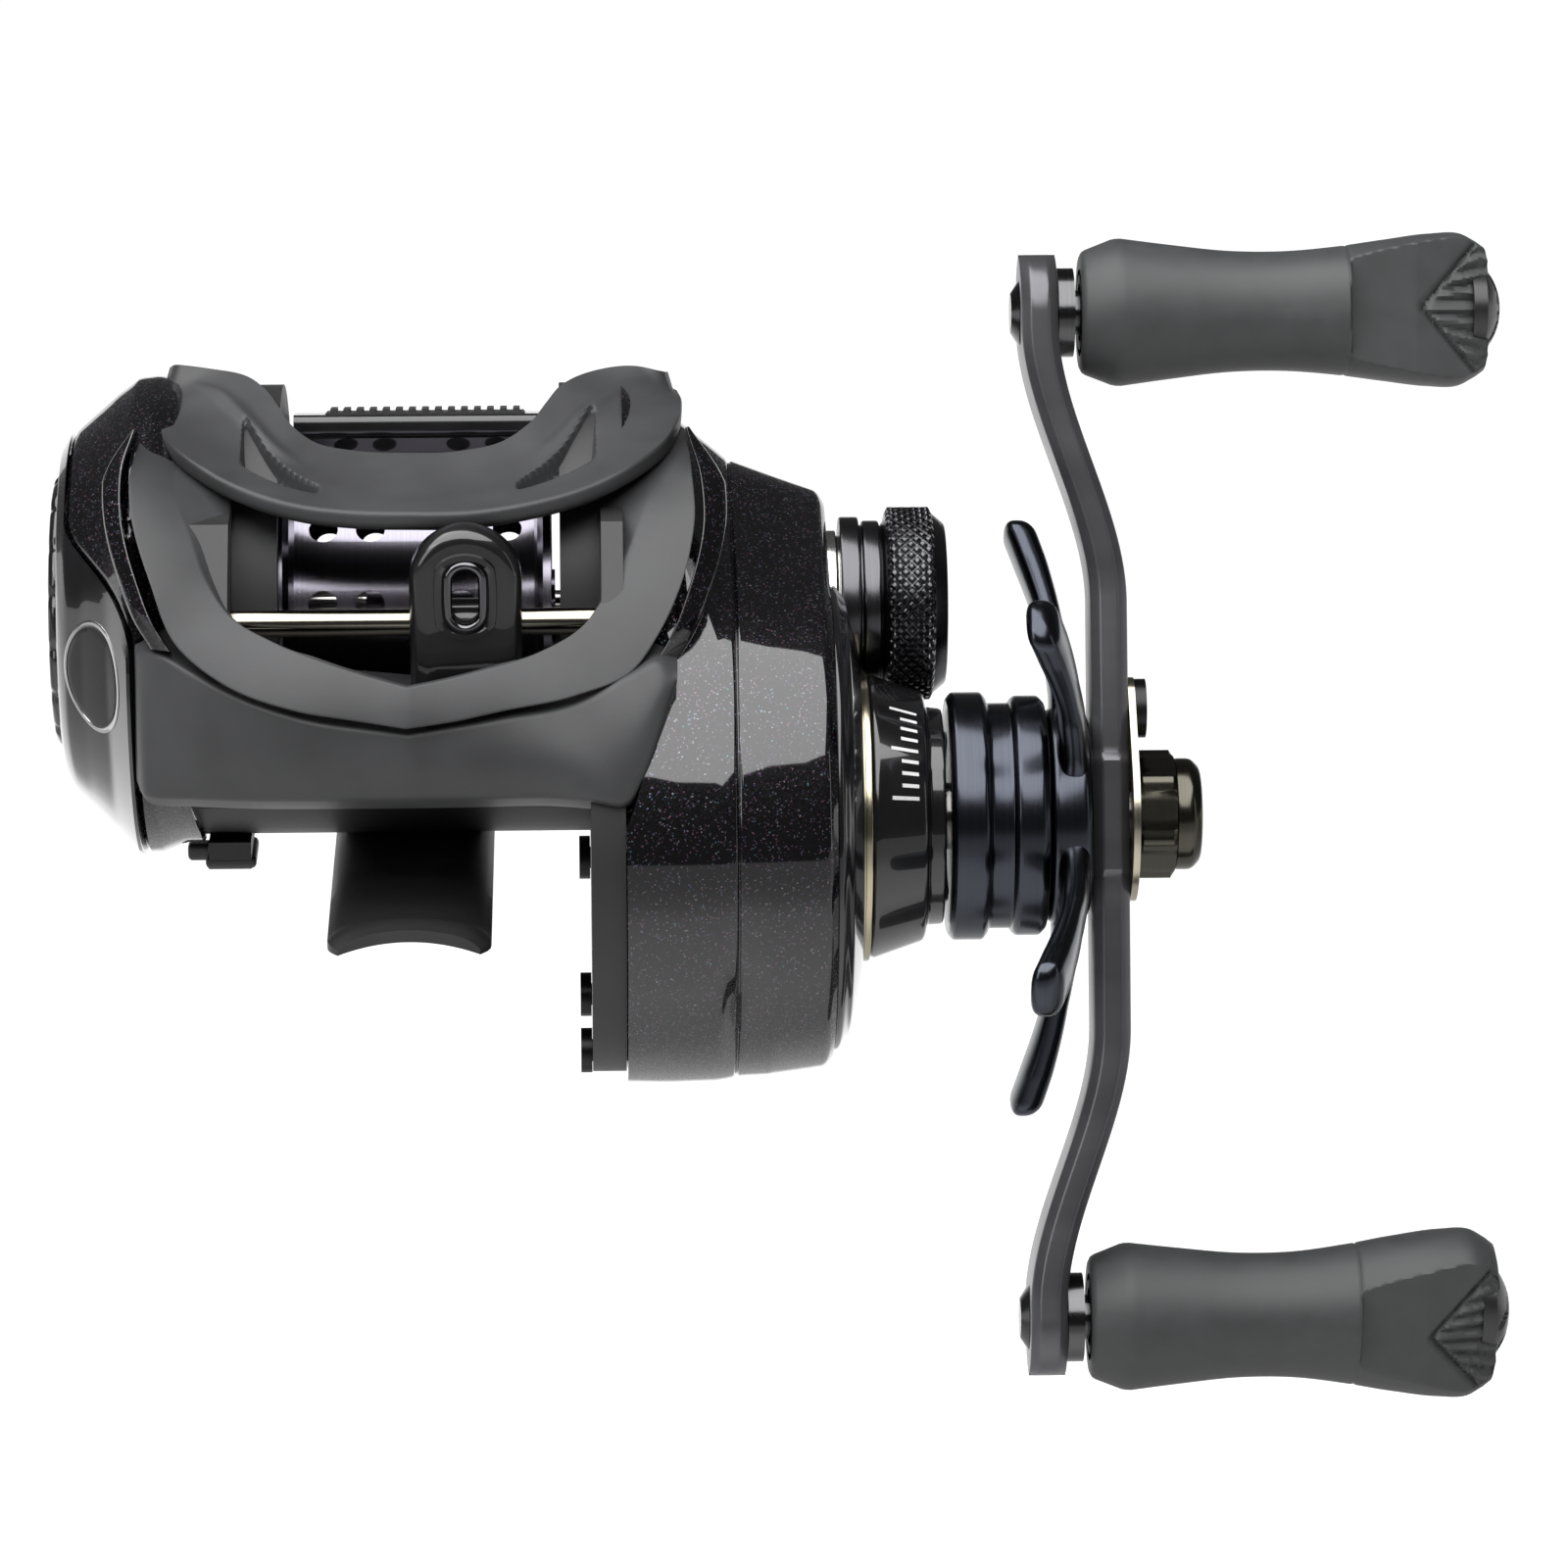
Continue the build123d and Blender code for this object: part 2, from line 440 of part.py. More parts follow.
def palm_side_plate():
    """Palm-side cover: a dished shell with a hub for the spool bearing and a seat for the brake dial."""
    inside = [(-29.6, 12.0), (-27.0, 14.2), (-23.6, 17.8), (-19.3, 18.0)]
    shell = turned(PALM_LINE + inside)
    face = turned([(-29.6, 14.2), (-29.6, 4.6), (-27.4, 4.6), (-27.4, 14.2)])
    hub = tube(-27.6, -20.6, 5.6, 4.0 + SEAT)
    spigot = tube(-20.4, -18.2, 17.2, 15.8)
    arms = block(-27.4, -20.4, -1.2, 1.2, SPOOL_Z + 5.2, SPOOL_Z + 17.0)
    ribs = None
    for k in range(3):
        rib = Pos(0, SPOOL_Y, SPOOL_Z) * Rot(120 * k, 0, 0) * Pos(0, -SPOOL_Y, -SPOOL_Z) * arms
        ribs = rib if ribs is None else ribs + rib
    body = shell + face + hub + spigot + ribs
    body -= BADGE_AT * Rot(0, -90, 0) * Pos(0, 0, -0.7) * extrude(Ellipse(5.1, 3.3), 2.7)
    return max(body.solids(), key=lambda s: s.volume)


def badge():
    """Plain oval badge let into the front of the palm plate."""
    return BADGE_AT * Rot(0, -90, 0) * Pos(0, 0, -0.65) * extrude(Ellipse(5.0, 3.2), 1.0)


def brake_dial():
    """Brake dial on the palm plate: a ribbed disc with a stub that turns in the plate."""
    body = turned([(-29.9, 0), (-29.9, 12.6), (-31.2, 12.4), (-32.0, 10.4), (-32.0, 0)])
    for step in around(12, 15, SPOOL_Y, SPOOL_Z):
        body -= step * rod(-34, -31.0, 1.0, SPOOL_Y, SPOOL_Z + 12.9)
    body += rod(-29.95, -27.8, 4.6 - RUN)
    return body


def side_latch():
    """Sliding latch under the palm side that frees the side plate."""
    body = block(-18.8, -14.2, -8.5, -2.5, 0.5, 1.7)
    return body + block(-20.6, -17.4, -4.6, -2.9, 0.0, 1.7)


# ---- controls ---------------------------------------------------------------------------------
PRESS_TILT = radians(12)              # the bar's top leans back by this much
PRESS = Plane((1.15, 16.6, 35.2), (1, 0, 0), (0, sin(PRESS_TILT), cos(PRESS_TILT))).location


def thumb_bar():
    """Clutch bar behind the spool: a broad cap on two legs, recessed for its rubber pad."""
    cap = PRESS * Box(24.1, 6.6, 2.2)
    cap = fillet(cap.edges().filter_by(Axis.X), 0.8)
    cap -= PRESS * Pos(0, 0, 1.0) * Box(18.4, 4.6, 1.2)
    legs = None
    for x in (-10.9, 11.7):
        leg = block(x, x + 1.5, 17.2, 20.4, 27.0, 35.0)
        legs = leg if legs is None else legs + leg
    return cap + legs


def thumb_pad():
    """Ribbed rubber pad set into the clutch bar."""
    pad = PRESS * Pos(0, 0, 0.85) * Box(18.2, 4.4, 0.8)
    for k in range(15):
        pad += PRESS * Pos(-8.4 + 1.2 * k, 0, 1.35) * Box(0.6, 4.4, 0.5)
    return pad


def cast_cap():
    """Cast-control cap on the spool axis: two plain rings, a knurled wheel and a closed end."""
    body = turned([(38.7, 6.2 + RUN), (38.7, 7.9), (40.5, 7.9), (40.8, 7.5), (42.7, 7.5), (42.8, 8.75),
                   (47.2, 8.75), (48.3, 7.3), (48.3, 0), (44.2, 0), (44.2, 6.2 + RUN)])
    notch = rod(42.0, 48.5, 0.35, SPOOL_Y, SPOOL_Z + 8.9)
    for step in around(36, 0, SPOOL_Y, SPOOL_Z):
        body -= step * notch
    return body


def star_wheel():
    """Star drag: a hub with five swept-back prongs with rounded tips."""
    body = tube(56.7, 60.5, 9.4, DRIVE_R + RUN, DRIVE_Y, DRIVE_Z)
    root, tip = (58.3, 8.0), (54.7, STAR_R - 1.7)
    lean = degrees(atan2(root[0] - tip[0], tip[1] - root[1]))
    length = hypot(tip[0] - root[0], tip[1] - root[1])
    stem = Cylinder(1.7, length, align=MIN_ALIGN)
    prong = Pos(root[0], DRIVE_Y, DRIVE_Z + root[1]) * Rot(0, -lean, 0) * stem
    prong += Pos(tip[0], DRIVE_Y, DRIVE_Z + tip[1]) * Sphere(1.7)
    prong -= rod(50, 62, 6.0, DRIVE_Y, DRIVE_Z) + rod(50, 56.8, 11.1, DRIVE_Y, DRIVE_Z)
    for step in around(5, STAR_TURN):
        body += step * prong
    return body


def star_hub():
    """Stepped sleeve between the drag boss and the star, hollow for the spring washers."""
    outer = [(47.8, 7.6), (47.8, 10.7), (48.3, 11.1), (50.9, 11.1), (51.3, 10.3), (53.6, 10.3), (53.9, 10.7),
             (56.2, 10.7), (56.6, 10.2), (56.6, DRIVE_R + RUN), (52.6, DRIVE_R + RUN), (52.6, 7.6)]
    return turned(outer, DRIVE_Y, DRIVE_Z)


def drag_nut():
    """Hexagonal drag nut on the shaft, keyed inside the star's sleeve."""
    hexagon = extrude(RegularPolygon(6.9, 6), 1.9)
    return at(50.5, DRIVE_Y, DRIVE_Z) * hexagon - rod(50, 54, DRIVE_R + RUN, DRIVE_Y, DRIVE_Z)


# ---- handle -----------------------------------------------------------------------------------
ARM_AT = Pos(0, DRIVE_Y, DRIVE_Z) * Rot(-ARM_LEAN, 0, 0)     # own z runs along the arm, own y across it


def arm_side(offset_x):
    """Half of the arm's side view, from the hub to an end, as (x, z) points of a smooth S bend."""
    stations = (0, 14, 21, 28, 35, 40, 44.5, 51)
    return [(ARM_X + offset_x - ARM_DROP * smooth((s - 19) / 25), s) for s in stations]


def smooth(t):
    """0 below 0 and 1 above 1, with a gentle S between."""
    t = min(1.0, max(0.0, t))
    return t * t * (3 - 2 * t)


def handle_arm():
    """Double handle arm: straight at the hub, bent inwards at both ends, with rounded ends."""
    outline = Plane.XZ * make_face([
        Spline(*([(x, -z) for x, z in reversed(arm_side(ARM_T / 2)[1:])] + arm_side(ARM_T / 2))),
        Line(arm_side(ARM_T / 2)[-1], arm_side(-ARM_T / 2)[-1]),
        Spline(*(list(reversed(arm_side(-ARM_T / 2))) + [(x, -z) for x, z in arm_side(-ARM_T / 2)[1:]])),
        Line((arm_side(-ARM_T / 2)[-1][0], -51), (arm_side(ARM_T / 2)[-1][0], -51)),
    ])
    body = extrude(outline, 12, both=True)
    face = Pos(0, ARM_REACH) * Circle(5.2) + Pos(0, -ARM_REACH) * Circle(5.2) + Circle(7.2)
    face += make_face(Polyline((-5.2, -ARM_REACH), (5.2, -ARM_REACH), (4.3, -20), (4.3, 20), (5.2, ARM_REACH),
                               (-5.2, ARM_REACH), (-4.3, 20), (-4.3, -20), close=True))
    body &= Plane.YZ.offset(40).location * extrude(face, 40)
    body = ARM_AT * body
    body -= rod(50, 70, DRIVE_R + SEAT, DRIVE_Y, DRIVE_Z)
    for y, z in (KNOB_UP, KNOB_DOWN):
        body -= rod(50, 70, 2.2 + SEAT, y, z)
        body -= rod(50, 54.78, 3.1, y, z)                        # spot faces for the rivet and the collar
        body -= rod(58.12, 70, 4.2, y, z)
    screw_y, screw_z = polar(90 - ARM_LEAN, 9.5)
    return body - rod(61.5, 70, 1.1, screw_y, screw_z)


def nut_retainer():
    """Thin keeper plate under the handle nut, with an ear for its small screw."""
    ear_y, ear_z = polar(90 - ARM_LEAN, 9.5)
    body = slab(64.1, 64.7, [(DRIVE_Y, DRIVE_Z, 7.8), (ear_y, ear_z, 2.8)])
    return body - rod(60, 70, DRIVE_R + SEAT, DRIVE_Y, DRIVE_Z) - rod(60, 70, 1.1, ear_y, ear_z)


def handle_nut():
    """Hexagonal handle nut with a round closed cap."""
    hexagon = RegularPolygon(5.1, 6, major_radius=False)
    body = at(64.8, DRIVE_Y, DRIVE_Z) * Rot(0, 0, 30 - ARM_LEAN) * extrude(hexagon, 3.4)
    body += turned([(68.1, 0), (68.1, 5.0), (70.0, 5.0), (70.6, 4.2), (70.6, 0)], DRIVE_Y, DRIVE_Z)
    return body - rod(60, 69.0, DRIVE_R + SEAT, DRIVE_Y, DRIVE_Z)


def knob_posts():
    """Two riveted posts that the knobs turn on, with a collar next to the arm and a domed rivet head."""
    posts = []
    for y, z in (KNOB_UP, KNOB_DOWN):
        outline = [(54.0, 0), (54.0, 1.8), (54.7, 2.9), (54.75, 2.2), (58.15, 2.2), (58.15, 4.0), (59.6, 4.0),
                   (59.6, 2.0), (90.0, 2.0), (90.0, 0)]
        posts.append(turned(outline, y, z))
    return Compound(children=posts)


KNOB_SECTIONS = [(KNOB_X0, 5.4, 5.4), (63.2, 6.9, 6.9), (74.0, 5.4, 6.1), (86.0, 5.9, 7.6), (92.5, 6.9, 8.7),
                 (96.4, 6.3, 8.2)]


def knob_grip(y, z, twist):
    """Soft grip: round where it meets the arm, waisted, and flattened to a paddle at its end."""
    faces = [at(x, y, z) * Rot(0, 0, twist) * Ellipse(a, b) for x, a, b in KNOB_SECTIONS]
    body = loft(faces[:2], ruled=True) + loft(faces[1:])
    body -= rod(50, 90.6, 2.6, y, z)
    for x0, x1 in ((KNOB_X0 - 1, 62.8), (85.4, 88.0)):
        body -= rod(x0, x1, 3.9 + SEAT, y, z)
    return body


def knob_cap(y, z, twist):
    """Hard end cap of a knob, with ribs across its end."""
    body = at(96.5, y, z) * Rot(0, 0, twist) * extrude(Ellipse(6.2, 8.1), 1.5, taper=18)
    for k in range(-2, 3):
        groove = at(97.6, y, z) * Rot(0, 0, twist) * Pos(0, 2.4 * k, 0.5) * Box(14, 0.7, 1.0)
        body -= groove
    return body


def knob_bearings(y, z):
    """The two small bearings inside a knob."""
    pair = [bearing(a, b, 3.9, 2.0 + RUN, y, z) for a, b in ((KNOB_X0, 62.6), (85.5, 87.9))]
    return Compound(children=pair)


# ---- every node -------------------------------------------------------------------------------
D = (DRIVE_Y, DRIVE_Z)
S = (SPOOL_Y, SPOOL_Z)
ear = polar(90 - ARM_LEAN, 9.5)
nodes = {
    "frame": frame(),
    "reel_foot": reel_foot(),
    "foot_rivets": foot_rivets(),
    "front_cover": front_cover(),
    "gear_case": gear_case(),
    "case_dome": case_dome(),
    "housing_screws": housing_screws(),
    "drag_boss": drag_boss(),
    "boss_ring": tube(40.15, 40.85, 12.9, 8.1, *D),
    "cap_boss": cap_boss(),
    "one_way_bearing": bearing(33.1, 38.5, 8.0, 5.0 + RUN, *D),
    "drive_shaft_bearing": bearing(16.7, 19.0, 5.0, DRIVE_R + RUN, *D),
    "pinion_bearing": bearing(16.6, 19.0, 5.15, 3.15 + RUN, *S),
    "spool_bearing_right": bearing(34.7, 37.2, 4.0, SHAFT_R + RUN, *S),
    "guide_rod": rod(WALL_LEFT - 1.9, PLATE_RIGHT - 0.7, ROD_R, ROD_Y, ROD_Z),
    "worm_bushings": worm_bushings(),
    "yoke_pins": Compound(children=[rod(17.1, 24.6, 0.8, y, z) for y, z in YOKE_SPOTS]),
    "drive_shaft": rod(16.8, 68.9, DRIVE_R, *D),
    "drive_gear": drive_gear(),
    "train_drive_gear": train_gear(0, DRIVE_R + SEAT),
    "drag_washers": Compound(children=[tube(28.5 + 0.9 * k, 29.3 + 0.9 * k, 13.0, DRIVE_R + SEAT, *D)
                                       for k in range(3)]),
    "pressure_plate": tube(31.3, 32.4, 13.0, DRIVE_R + SEAT, *D),
    "one_way_sleeve": tube(32.5, 47.2, 5.0, DRIVE_R + SEAT, *D),
    "spring_washers": Compound(children=[tube(48.1 + 0.8 * k, 48.7 + 0.8 * k, 6.8, DRIVE_R + SEAT, *D)
                                         for k in range(3)]),
    "handle_arm": handle_arm(),
    "nut_retainer": nut_retainer(),
    "retainer_screw": screw(64.75, 3.0, 2.65, 1.05, *ear, 1),
    "handle_nut": handle_nut(),
    "knob_posts": knob_posts(),
    "star_wheel": star_wheel(),
    "star_hub": star_hub(),
    "drag_nut": drag_nut(),
    "spool": spool(),
    "spool_shaft": rod(-24.6, 43.3, SHAFT_R, *S) - Pos(15.4, *S) * Rot(90, 0, 0) * Cylinder(0.52, 8),
    "spool_pin": Pos(15.4, *S) * Rot(90, 0, 0) * Cylinder(0.5, 5.2),
    "pinion_gear": pinion_gear(),
    "clutch_yoke": clutch_yoke(),
    "worm_shaft": worm_shaft(),
    "worm_gear": train_gear(2, 1.5 + SEAT),
    "idler_gear": train_gear(1, 1.2 + RUN),
    "line_guide": line_guide(),
    "guide_eye": guide_eye(),
    "level_pawl": level_pawl(),
    "cast_cap": cast_cap(),
    "cap_shim": rod(43.5, 44.15, 5.6, *S),
    "thumb_bar": thumb_bar(),
    "thumb_pad": thumb_pad(),
    "palm_side_plate": palm_side_plate(),
    "badge": badge(),
    "spool_bearing_left": bearing(-23.4, -20.9, 4.0, SHAFT_R + RUN, *S),
    "brake_magnets": tube(-20.4, -18.6, 10.0, 7.0),
    "brake_dial": brake_dial(),
    "side_latch": side_latch(),
}
for side, (knob_y, knob_z), twist in (("upper", KNOB_UP, 72.0), ("lower", KNOB_DOWN, 72.0)):
    nodes["knob_grip_" + side] = knob_grip(knob_y, knob_z, twist)
    nodes["knob_cap_" + side] = knob_cap(knob_y, knob_z, twist)
    nodes["knob_bearings_" + side] = knob_bearings(knob_y, knob_z)

os.makedirs("parts", exist_ok=True)
for name, shape in nodes.items():
    export_step(shape, "parts/" + name + ".step")
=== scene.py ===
import bmesh
import bpy
import numpy as np
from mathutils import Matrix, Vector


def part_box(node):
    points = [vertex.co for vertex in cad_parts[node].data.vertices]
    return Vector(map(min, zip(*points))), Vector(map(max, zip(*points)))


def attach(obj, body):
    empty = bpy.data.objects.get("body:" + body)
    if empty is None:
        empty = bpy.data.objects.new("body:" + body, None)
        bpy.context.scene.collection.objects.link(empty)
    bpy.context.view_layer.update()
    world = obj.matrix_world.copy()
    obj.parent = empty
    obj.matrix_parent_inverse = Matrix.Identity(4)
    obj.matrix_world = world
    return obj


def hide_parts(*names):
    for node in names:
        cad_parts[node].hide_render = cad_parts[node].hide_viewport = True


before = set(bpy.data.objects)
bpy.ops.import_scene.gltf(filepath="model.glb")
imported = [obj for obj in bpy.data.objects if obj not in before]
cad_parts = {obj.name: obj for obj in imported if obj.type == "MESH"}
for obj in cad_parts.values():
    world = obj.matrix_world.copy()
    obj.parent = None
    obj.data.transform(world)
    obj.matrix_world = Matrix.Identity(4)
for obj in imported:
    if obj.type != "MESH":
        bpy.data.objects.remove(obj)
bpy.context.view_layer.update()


# ---- Frame and foot ----
# The frame is one aluminium casting, painted satin black: rings for the spool, walls for the level
# wind and a plate for the gears.  A forged saddle foot is riveted under it to clamp in a reel seat.


class Field:
    """A node socket that varies over a surface.  Arithmetic on it adds Math nodes."""

    def __init__(self, finish, socket):
        self.finish = finish
        self.socket = socket

    def join(self, operation, first, second):
        return self.finish.node("ShaderNodeMath", {"operation": operation}, {0: first, 1: second})

    def __add__(self, other):
        return self.join("ADD", self, other)

    def __rsub__(self, other):
        return self.join("SUBTRACT", other, self)

    def __mul__(self, other):
        return self.join("MULTIPLY", self, other)

    def __gt__(self, other):
        return self.join("GREATER_THAN", self, other)


class Finish:
    """One material: a Principled shader with constant sockets, and one method for every other node."""

    def __init__(self, name, **constants):
        self.material = bpy.data.materials.new(name)
        self.material.use_nodes = True
        self.tree = self.material.node_tree
        self.shader = self.tree.nodes["Principled BSDF"]
        for socket, value in constants.items():
            self.shader.inputs[socket.replace("_", " ")].default_value = value
        self.place = self.node("ShaderNodeTexCoord", out="Object")

    def node(self, kind, settings=None, inputs=None, out=0):
        """Adds a node of a type with its settings, then the values or links of its sockets."""
        node = self.tree.nodes.new(kind)
        for key, value in (settings or {}).items():
            if key == "stops":
                for at, colour in value[2:]:
                    node.color_ramp.elements.new(at)
                for element, (at, colour) in zip(node.color_ramp.elements, sorted(value)):
                    element.position = at
                    element.color = (*colour, 1.0)
            else:
                setattr(node, key, value)
        for key, value in (inputs or {}).items():
            if isinstance(value, Field):
                self.tree.links.new(value.socket, node.inputs[key])
            else:
                node.inputs[key].default_value = value
        return Field(self, node.outputs[out])

    def noise(self, size, detail=2.0, stretch=(1.0, 1.0, 1.0)):
        """Noise whose blotches are size millimetres across, stretched by the given shares."""
        scale = [1000.0 / size / s for s in stretch]
        where = self.node("ShaderNodeMapping", {}, {"Vector": self.place, "Scale": scale})
        return self.node("ShaderNodeTexNoise", {}, {"Vector": where, "Scale": 1.0, "Detail": detail})

    def ramp(self, factor, *stops):
        """Colours at positions along a factor."""
        return self.node("ShaderNodeValToRGB", {"stops": list(stops)}, {"Fac": factor})

    def feed(self, socket, value):
        self.tree.links.new(value.socket, self.shader.inputs[socket])

    def mottle(self, factor, colour, dark, light):
        """Base colour that runs along the factor from a dark to a light share of one colour."""
        low = [dark * c for c in colour]
        high = [min(1.0, light * c) for c in colour]
        self.feed("Base Color", self.ramp(factor, (0.3, low), (0.7, high)))

    def relief(self, height, depth):
        """Bumps of depth millimetres from a height between 0 and 1."""
        size = {"Height": height, "Strength": 1.0, "Distance": depth * 0.001}
        self.feed("Normal", self.node("ShaderNodeBump", {}, size))


def satin_paint(name, colour, rough=0.5, grain=0.006):
    """Sprayed satin coat: a fine even grain, with faint cloudy changes of gloss from handling."""
    paint = Finish(name, Specular_IOR_Level=0.42)
    cloud = paint.noise(9.0, 3.0)
    paint.mottle(cloud, colour, 0.78, 1.22)
    paint.feed("Roughness", cloud * 0.14 + (rough - 0.07) + paint.noise(0.5) * 0.06)
    paint.relief(paint.noise(0.28, 3.0), grain)
    return paint.material


def turned_metal(name, colour, rough=0.22, metallic=1.0, axis=(0.05, 30.0, 30.0)):
    """Metal turned on a lathe: fine rings round its axis, slightly uneven in brightness."""
    metal = Finish(name, Metallic=metallic)
    rings = metal.noise(1.0, 4.0, axis)
    metal.mottle(rings, colour, 0.86, 1.1)
    metal.feed("Roughness", rings * 0.12 + (rough - 0.06))
    metal.relief(rings, 0.0025)
    return metal.material


def coat(material, *nodes):
    """Gives CAD nodes their material."""
    for node in nodes:
        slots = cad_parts[node].data.materials
        slots.clear()
        slots.append(material)


def held(value):
    """The value, kept between 0 and 1."""
    return np.clip(value, 0, 1)


def ring(grid):
    """Closes a grid's columns: the first column comes again after the last."""
    return np.concatenate([grid, grid[:, :1]], axis=1)


def cell_mesh(name, grids):
    """Mesh from grids of points in millimetres, rows by columns.  Each cell of a grid is a face."""
    points = []
    faces = []
    start = 0
    for grid in grids:
        rows, columns = grid.shape[:2]
        index = start + np.arange(rows * columns).reshape(rows, columns)
        quads = np.stack([index[:-1, :-1], index[:-1, 1:], index[1:, 1:], index[1:, :-1]], axis=-1)
        points.append(grid.reshape(-1, 3) * 0.001)
        faces.append(quads.reshape(-1, 4))
        start += rows * columns
    mesh = bpy.data.meshes.new(name)
    mesh.from_pydata(np.concatenate(points), [], np.concatenate(faces).tolist())
    return mesh


def piece(name, grids, material, body, *nodes, slot=None, sharp=38.0):
    """Makes one mesh from grids of points and gives it its material and the body it rides on.  Points
    that meet are merged, faces are turned outwards, and edges steeper than sharp degrees stay crisp."""
    mesh = cell_mesh(name, grids)
    work = bmesh.new()
    work.from_mesh(mesh)
    bmesh.ops.remove_doubles(work, verts=work.verts, dist=2e-6)
    bmesh.ops.dissolve_degenerate(work, edges=work.edges, dist=1e-7)
    bmesh.ops.recalc_face_normals(work, faces=work.faces)
    work.to_mesh(mesh)
    work.free()
    mesh.shade_smooth()
    mesh.set_sharp_from_angle(angle=np.radians(sharp))
    obj = bpy.data.objects.new(name, mesh)
    bpy.context.scene.collection.objects.link(obj)
    obj.data.materials.append(material)
    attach(obj, body)
    if nodes:
        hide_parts(*nodes)


def box(node):
    """Lowest and highest corner of a CAD node, in millimetres."""
    return [np.array(corner) * 1000 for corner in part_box(node)]


def middle(node):
    """Y and Z of the middle of a CAD node's box, in millimetres."""
    low, high = box(node)
    return (low + high)[1:] / 2


spool_axis = spool_y, spool_z = middle("spool")
drive_axis = drive_y, drive_z = middle("boss_ring")

frame_black = satin_paint("frame satin black", (0.017, 0.017, 0.0175), 0.44)
coat(frame_black, "frame")

foot_black = satin_paint("foot satin black", (0.022, 0.022, 0.0225), 0.42, 0.01)
foot_high = box("reel_foot")[1]
FRAME_UNDERSIDE = 3.3


def saddle(rows=81, columns=25):
    """Foot: sections across it, one for each station along Y.  The underside is an arc that rises in the
    middle, the top follows it, and the thickness falls off towards both tips, which turn down a little."""
    along = np.linspace(-1, 1, rows)
    across = np.linspace(-1, 1, columns)
    half = foot_high[0] * np.sqrt(held(1 - held((np.abs(along) - 0.93) / 0.07) ** 2 * 0.25))
    thick = 1.1 + 1.5 * held(1 - np.abs(along) ** 2.2)
    x = half[:, None] * across
    arch = 1.2 * (1 - across**2) * np.ones((rows, 1))
    y = foot_high[1] * along[:, None] * np.ones(columns)
    lip = 0.35 * np.exp(-(((np.abs(along) - 0.95) / 0.025) ** 2))
    low = arch + 0.05
    high = low + (thick + lip)[:, None] * (1 - 0.55 * np.abs(across) ** 8)
    high = np.minimum(high, FRAME_UNDERSIDE)
    top = np.stack([x, y, high], axis=-1)
    bottom = np.stack([x, y, low], axis=-1)
    tips = [np.stack([top[end], bottom[end]]) for end in (0, -1)]
    return [ring(np.concatenate([top, bottom[:, ::-1]], axis=1)), *tips]


piece("foot", saddle(), foot_black, "reel_frame", "reel_foot", slot="foot_black")

rivet_steel = turned_metal("rivet steel", (0.5, 0.5, 0.5), 0.35, axis=(30.0, 30.0, 0.05))
coat(rivet_steel, "foot_rivets")


# ---- Nose cover ----
# The nose is a moulded cover in fine-grained satin black.  A broad bezel with a V-shaped keel frames
# the line window, and a bulged panel below it closes the front down to the foot.

cover_satin = satin_paint("cover satin black", (0.033, 0.0335, 0.035), 0.47, 0.008)

# Points of every rail are (x, y, z) in millimetres, from the palm side to the gear side.
BEZEL_OUTER = [
    (-22.2, -4.4, 41.5), (-23.5, -13.2, 41), (-24, -18.6, 39.4), (-23.6, -22.6, 37.2),
    (-21.9, -27.5, 33.1), (-19.7, -30.5, 28.4), (-15.5, -32.5, 25.3), (-9.3, -34.3, 23.4),
    (-4, -35.1, 22.7), (0.2, -35.8, 22.2), (4.4, -35.1, 22.6), (8.3, -34.3, 23.2), (14.9, -33, 24.2),
    (19.8, -31, 25.8), (21.9, -29.3, 28.3), (23.9, -26.5, 31.8), (25.3, -21.6, 36.5), (25.2, -16.6, 39),
    (24.6, -6.4, 40.4),
]
BEZEL_INNER = [
    (-19.4, -5.9, 40.2), (-20.2, -13.7, 39.4), (-19.9, -19, 38.1), (-18.7, -22.2, 36.1),
    (-16.9, -26, 32.5), (-15.1, -28, 30.4), (-11.5, -30, 28.6), (-6.6, -32, 27.1), (-3, -33.1, 26.2),
    (0.3, -34.1, 25.5), (3.6, -33.2, 25.9), (6.6, -32.3, 26.4), (11.8, -30.3, 27.5), (15.4, -28.3, 29.2),
    (17.2, -26.3, 31), (19.5, -22.5, 34.4), (21, -18.4, 37.1), (21.6, -13.2, 38.8), (21.6, -5.9, 39.8),
]
WALL_LEFT, WALL_RIGHT = -15.2, 17.0


def curve(points, count):
    """Smooth curve through the points: cubic pieces between them, evaluated at even steps of chord length."""
    p = np.asarray(points, float)
    t = np.concatenate([[0.0], np.cumsum(np.linalg.norm(np.diff(p, axis=0), axis=1))])
    slope = np.gradient(p, t, axis=0)
    s = np.linspace(0.0, t[-1], count)
    i = np.clip(np.searchsorted(t, s, side="right") - 1, 0, len(t) - 2)
    step = (t[i + 1] - t[i])[:, None]
    f = (s - t[i])[:, None] / step
    start = (1 + 2 * f) * (1 - f) ** 2 * p[i] + f * (1 - f) ** 2 * step * slope[i]
    end = f**2 * (3 - 2 * f) * p[i + 1] - f**2 * (1 - f) * step * slope[i + 1]
    return start + end


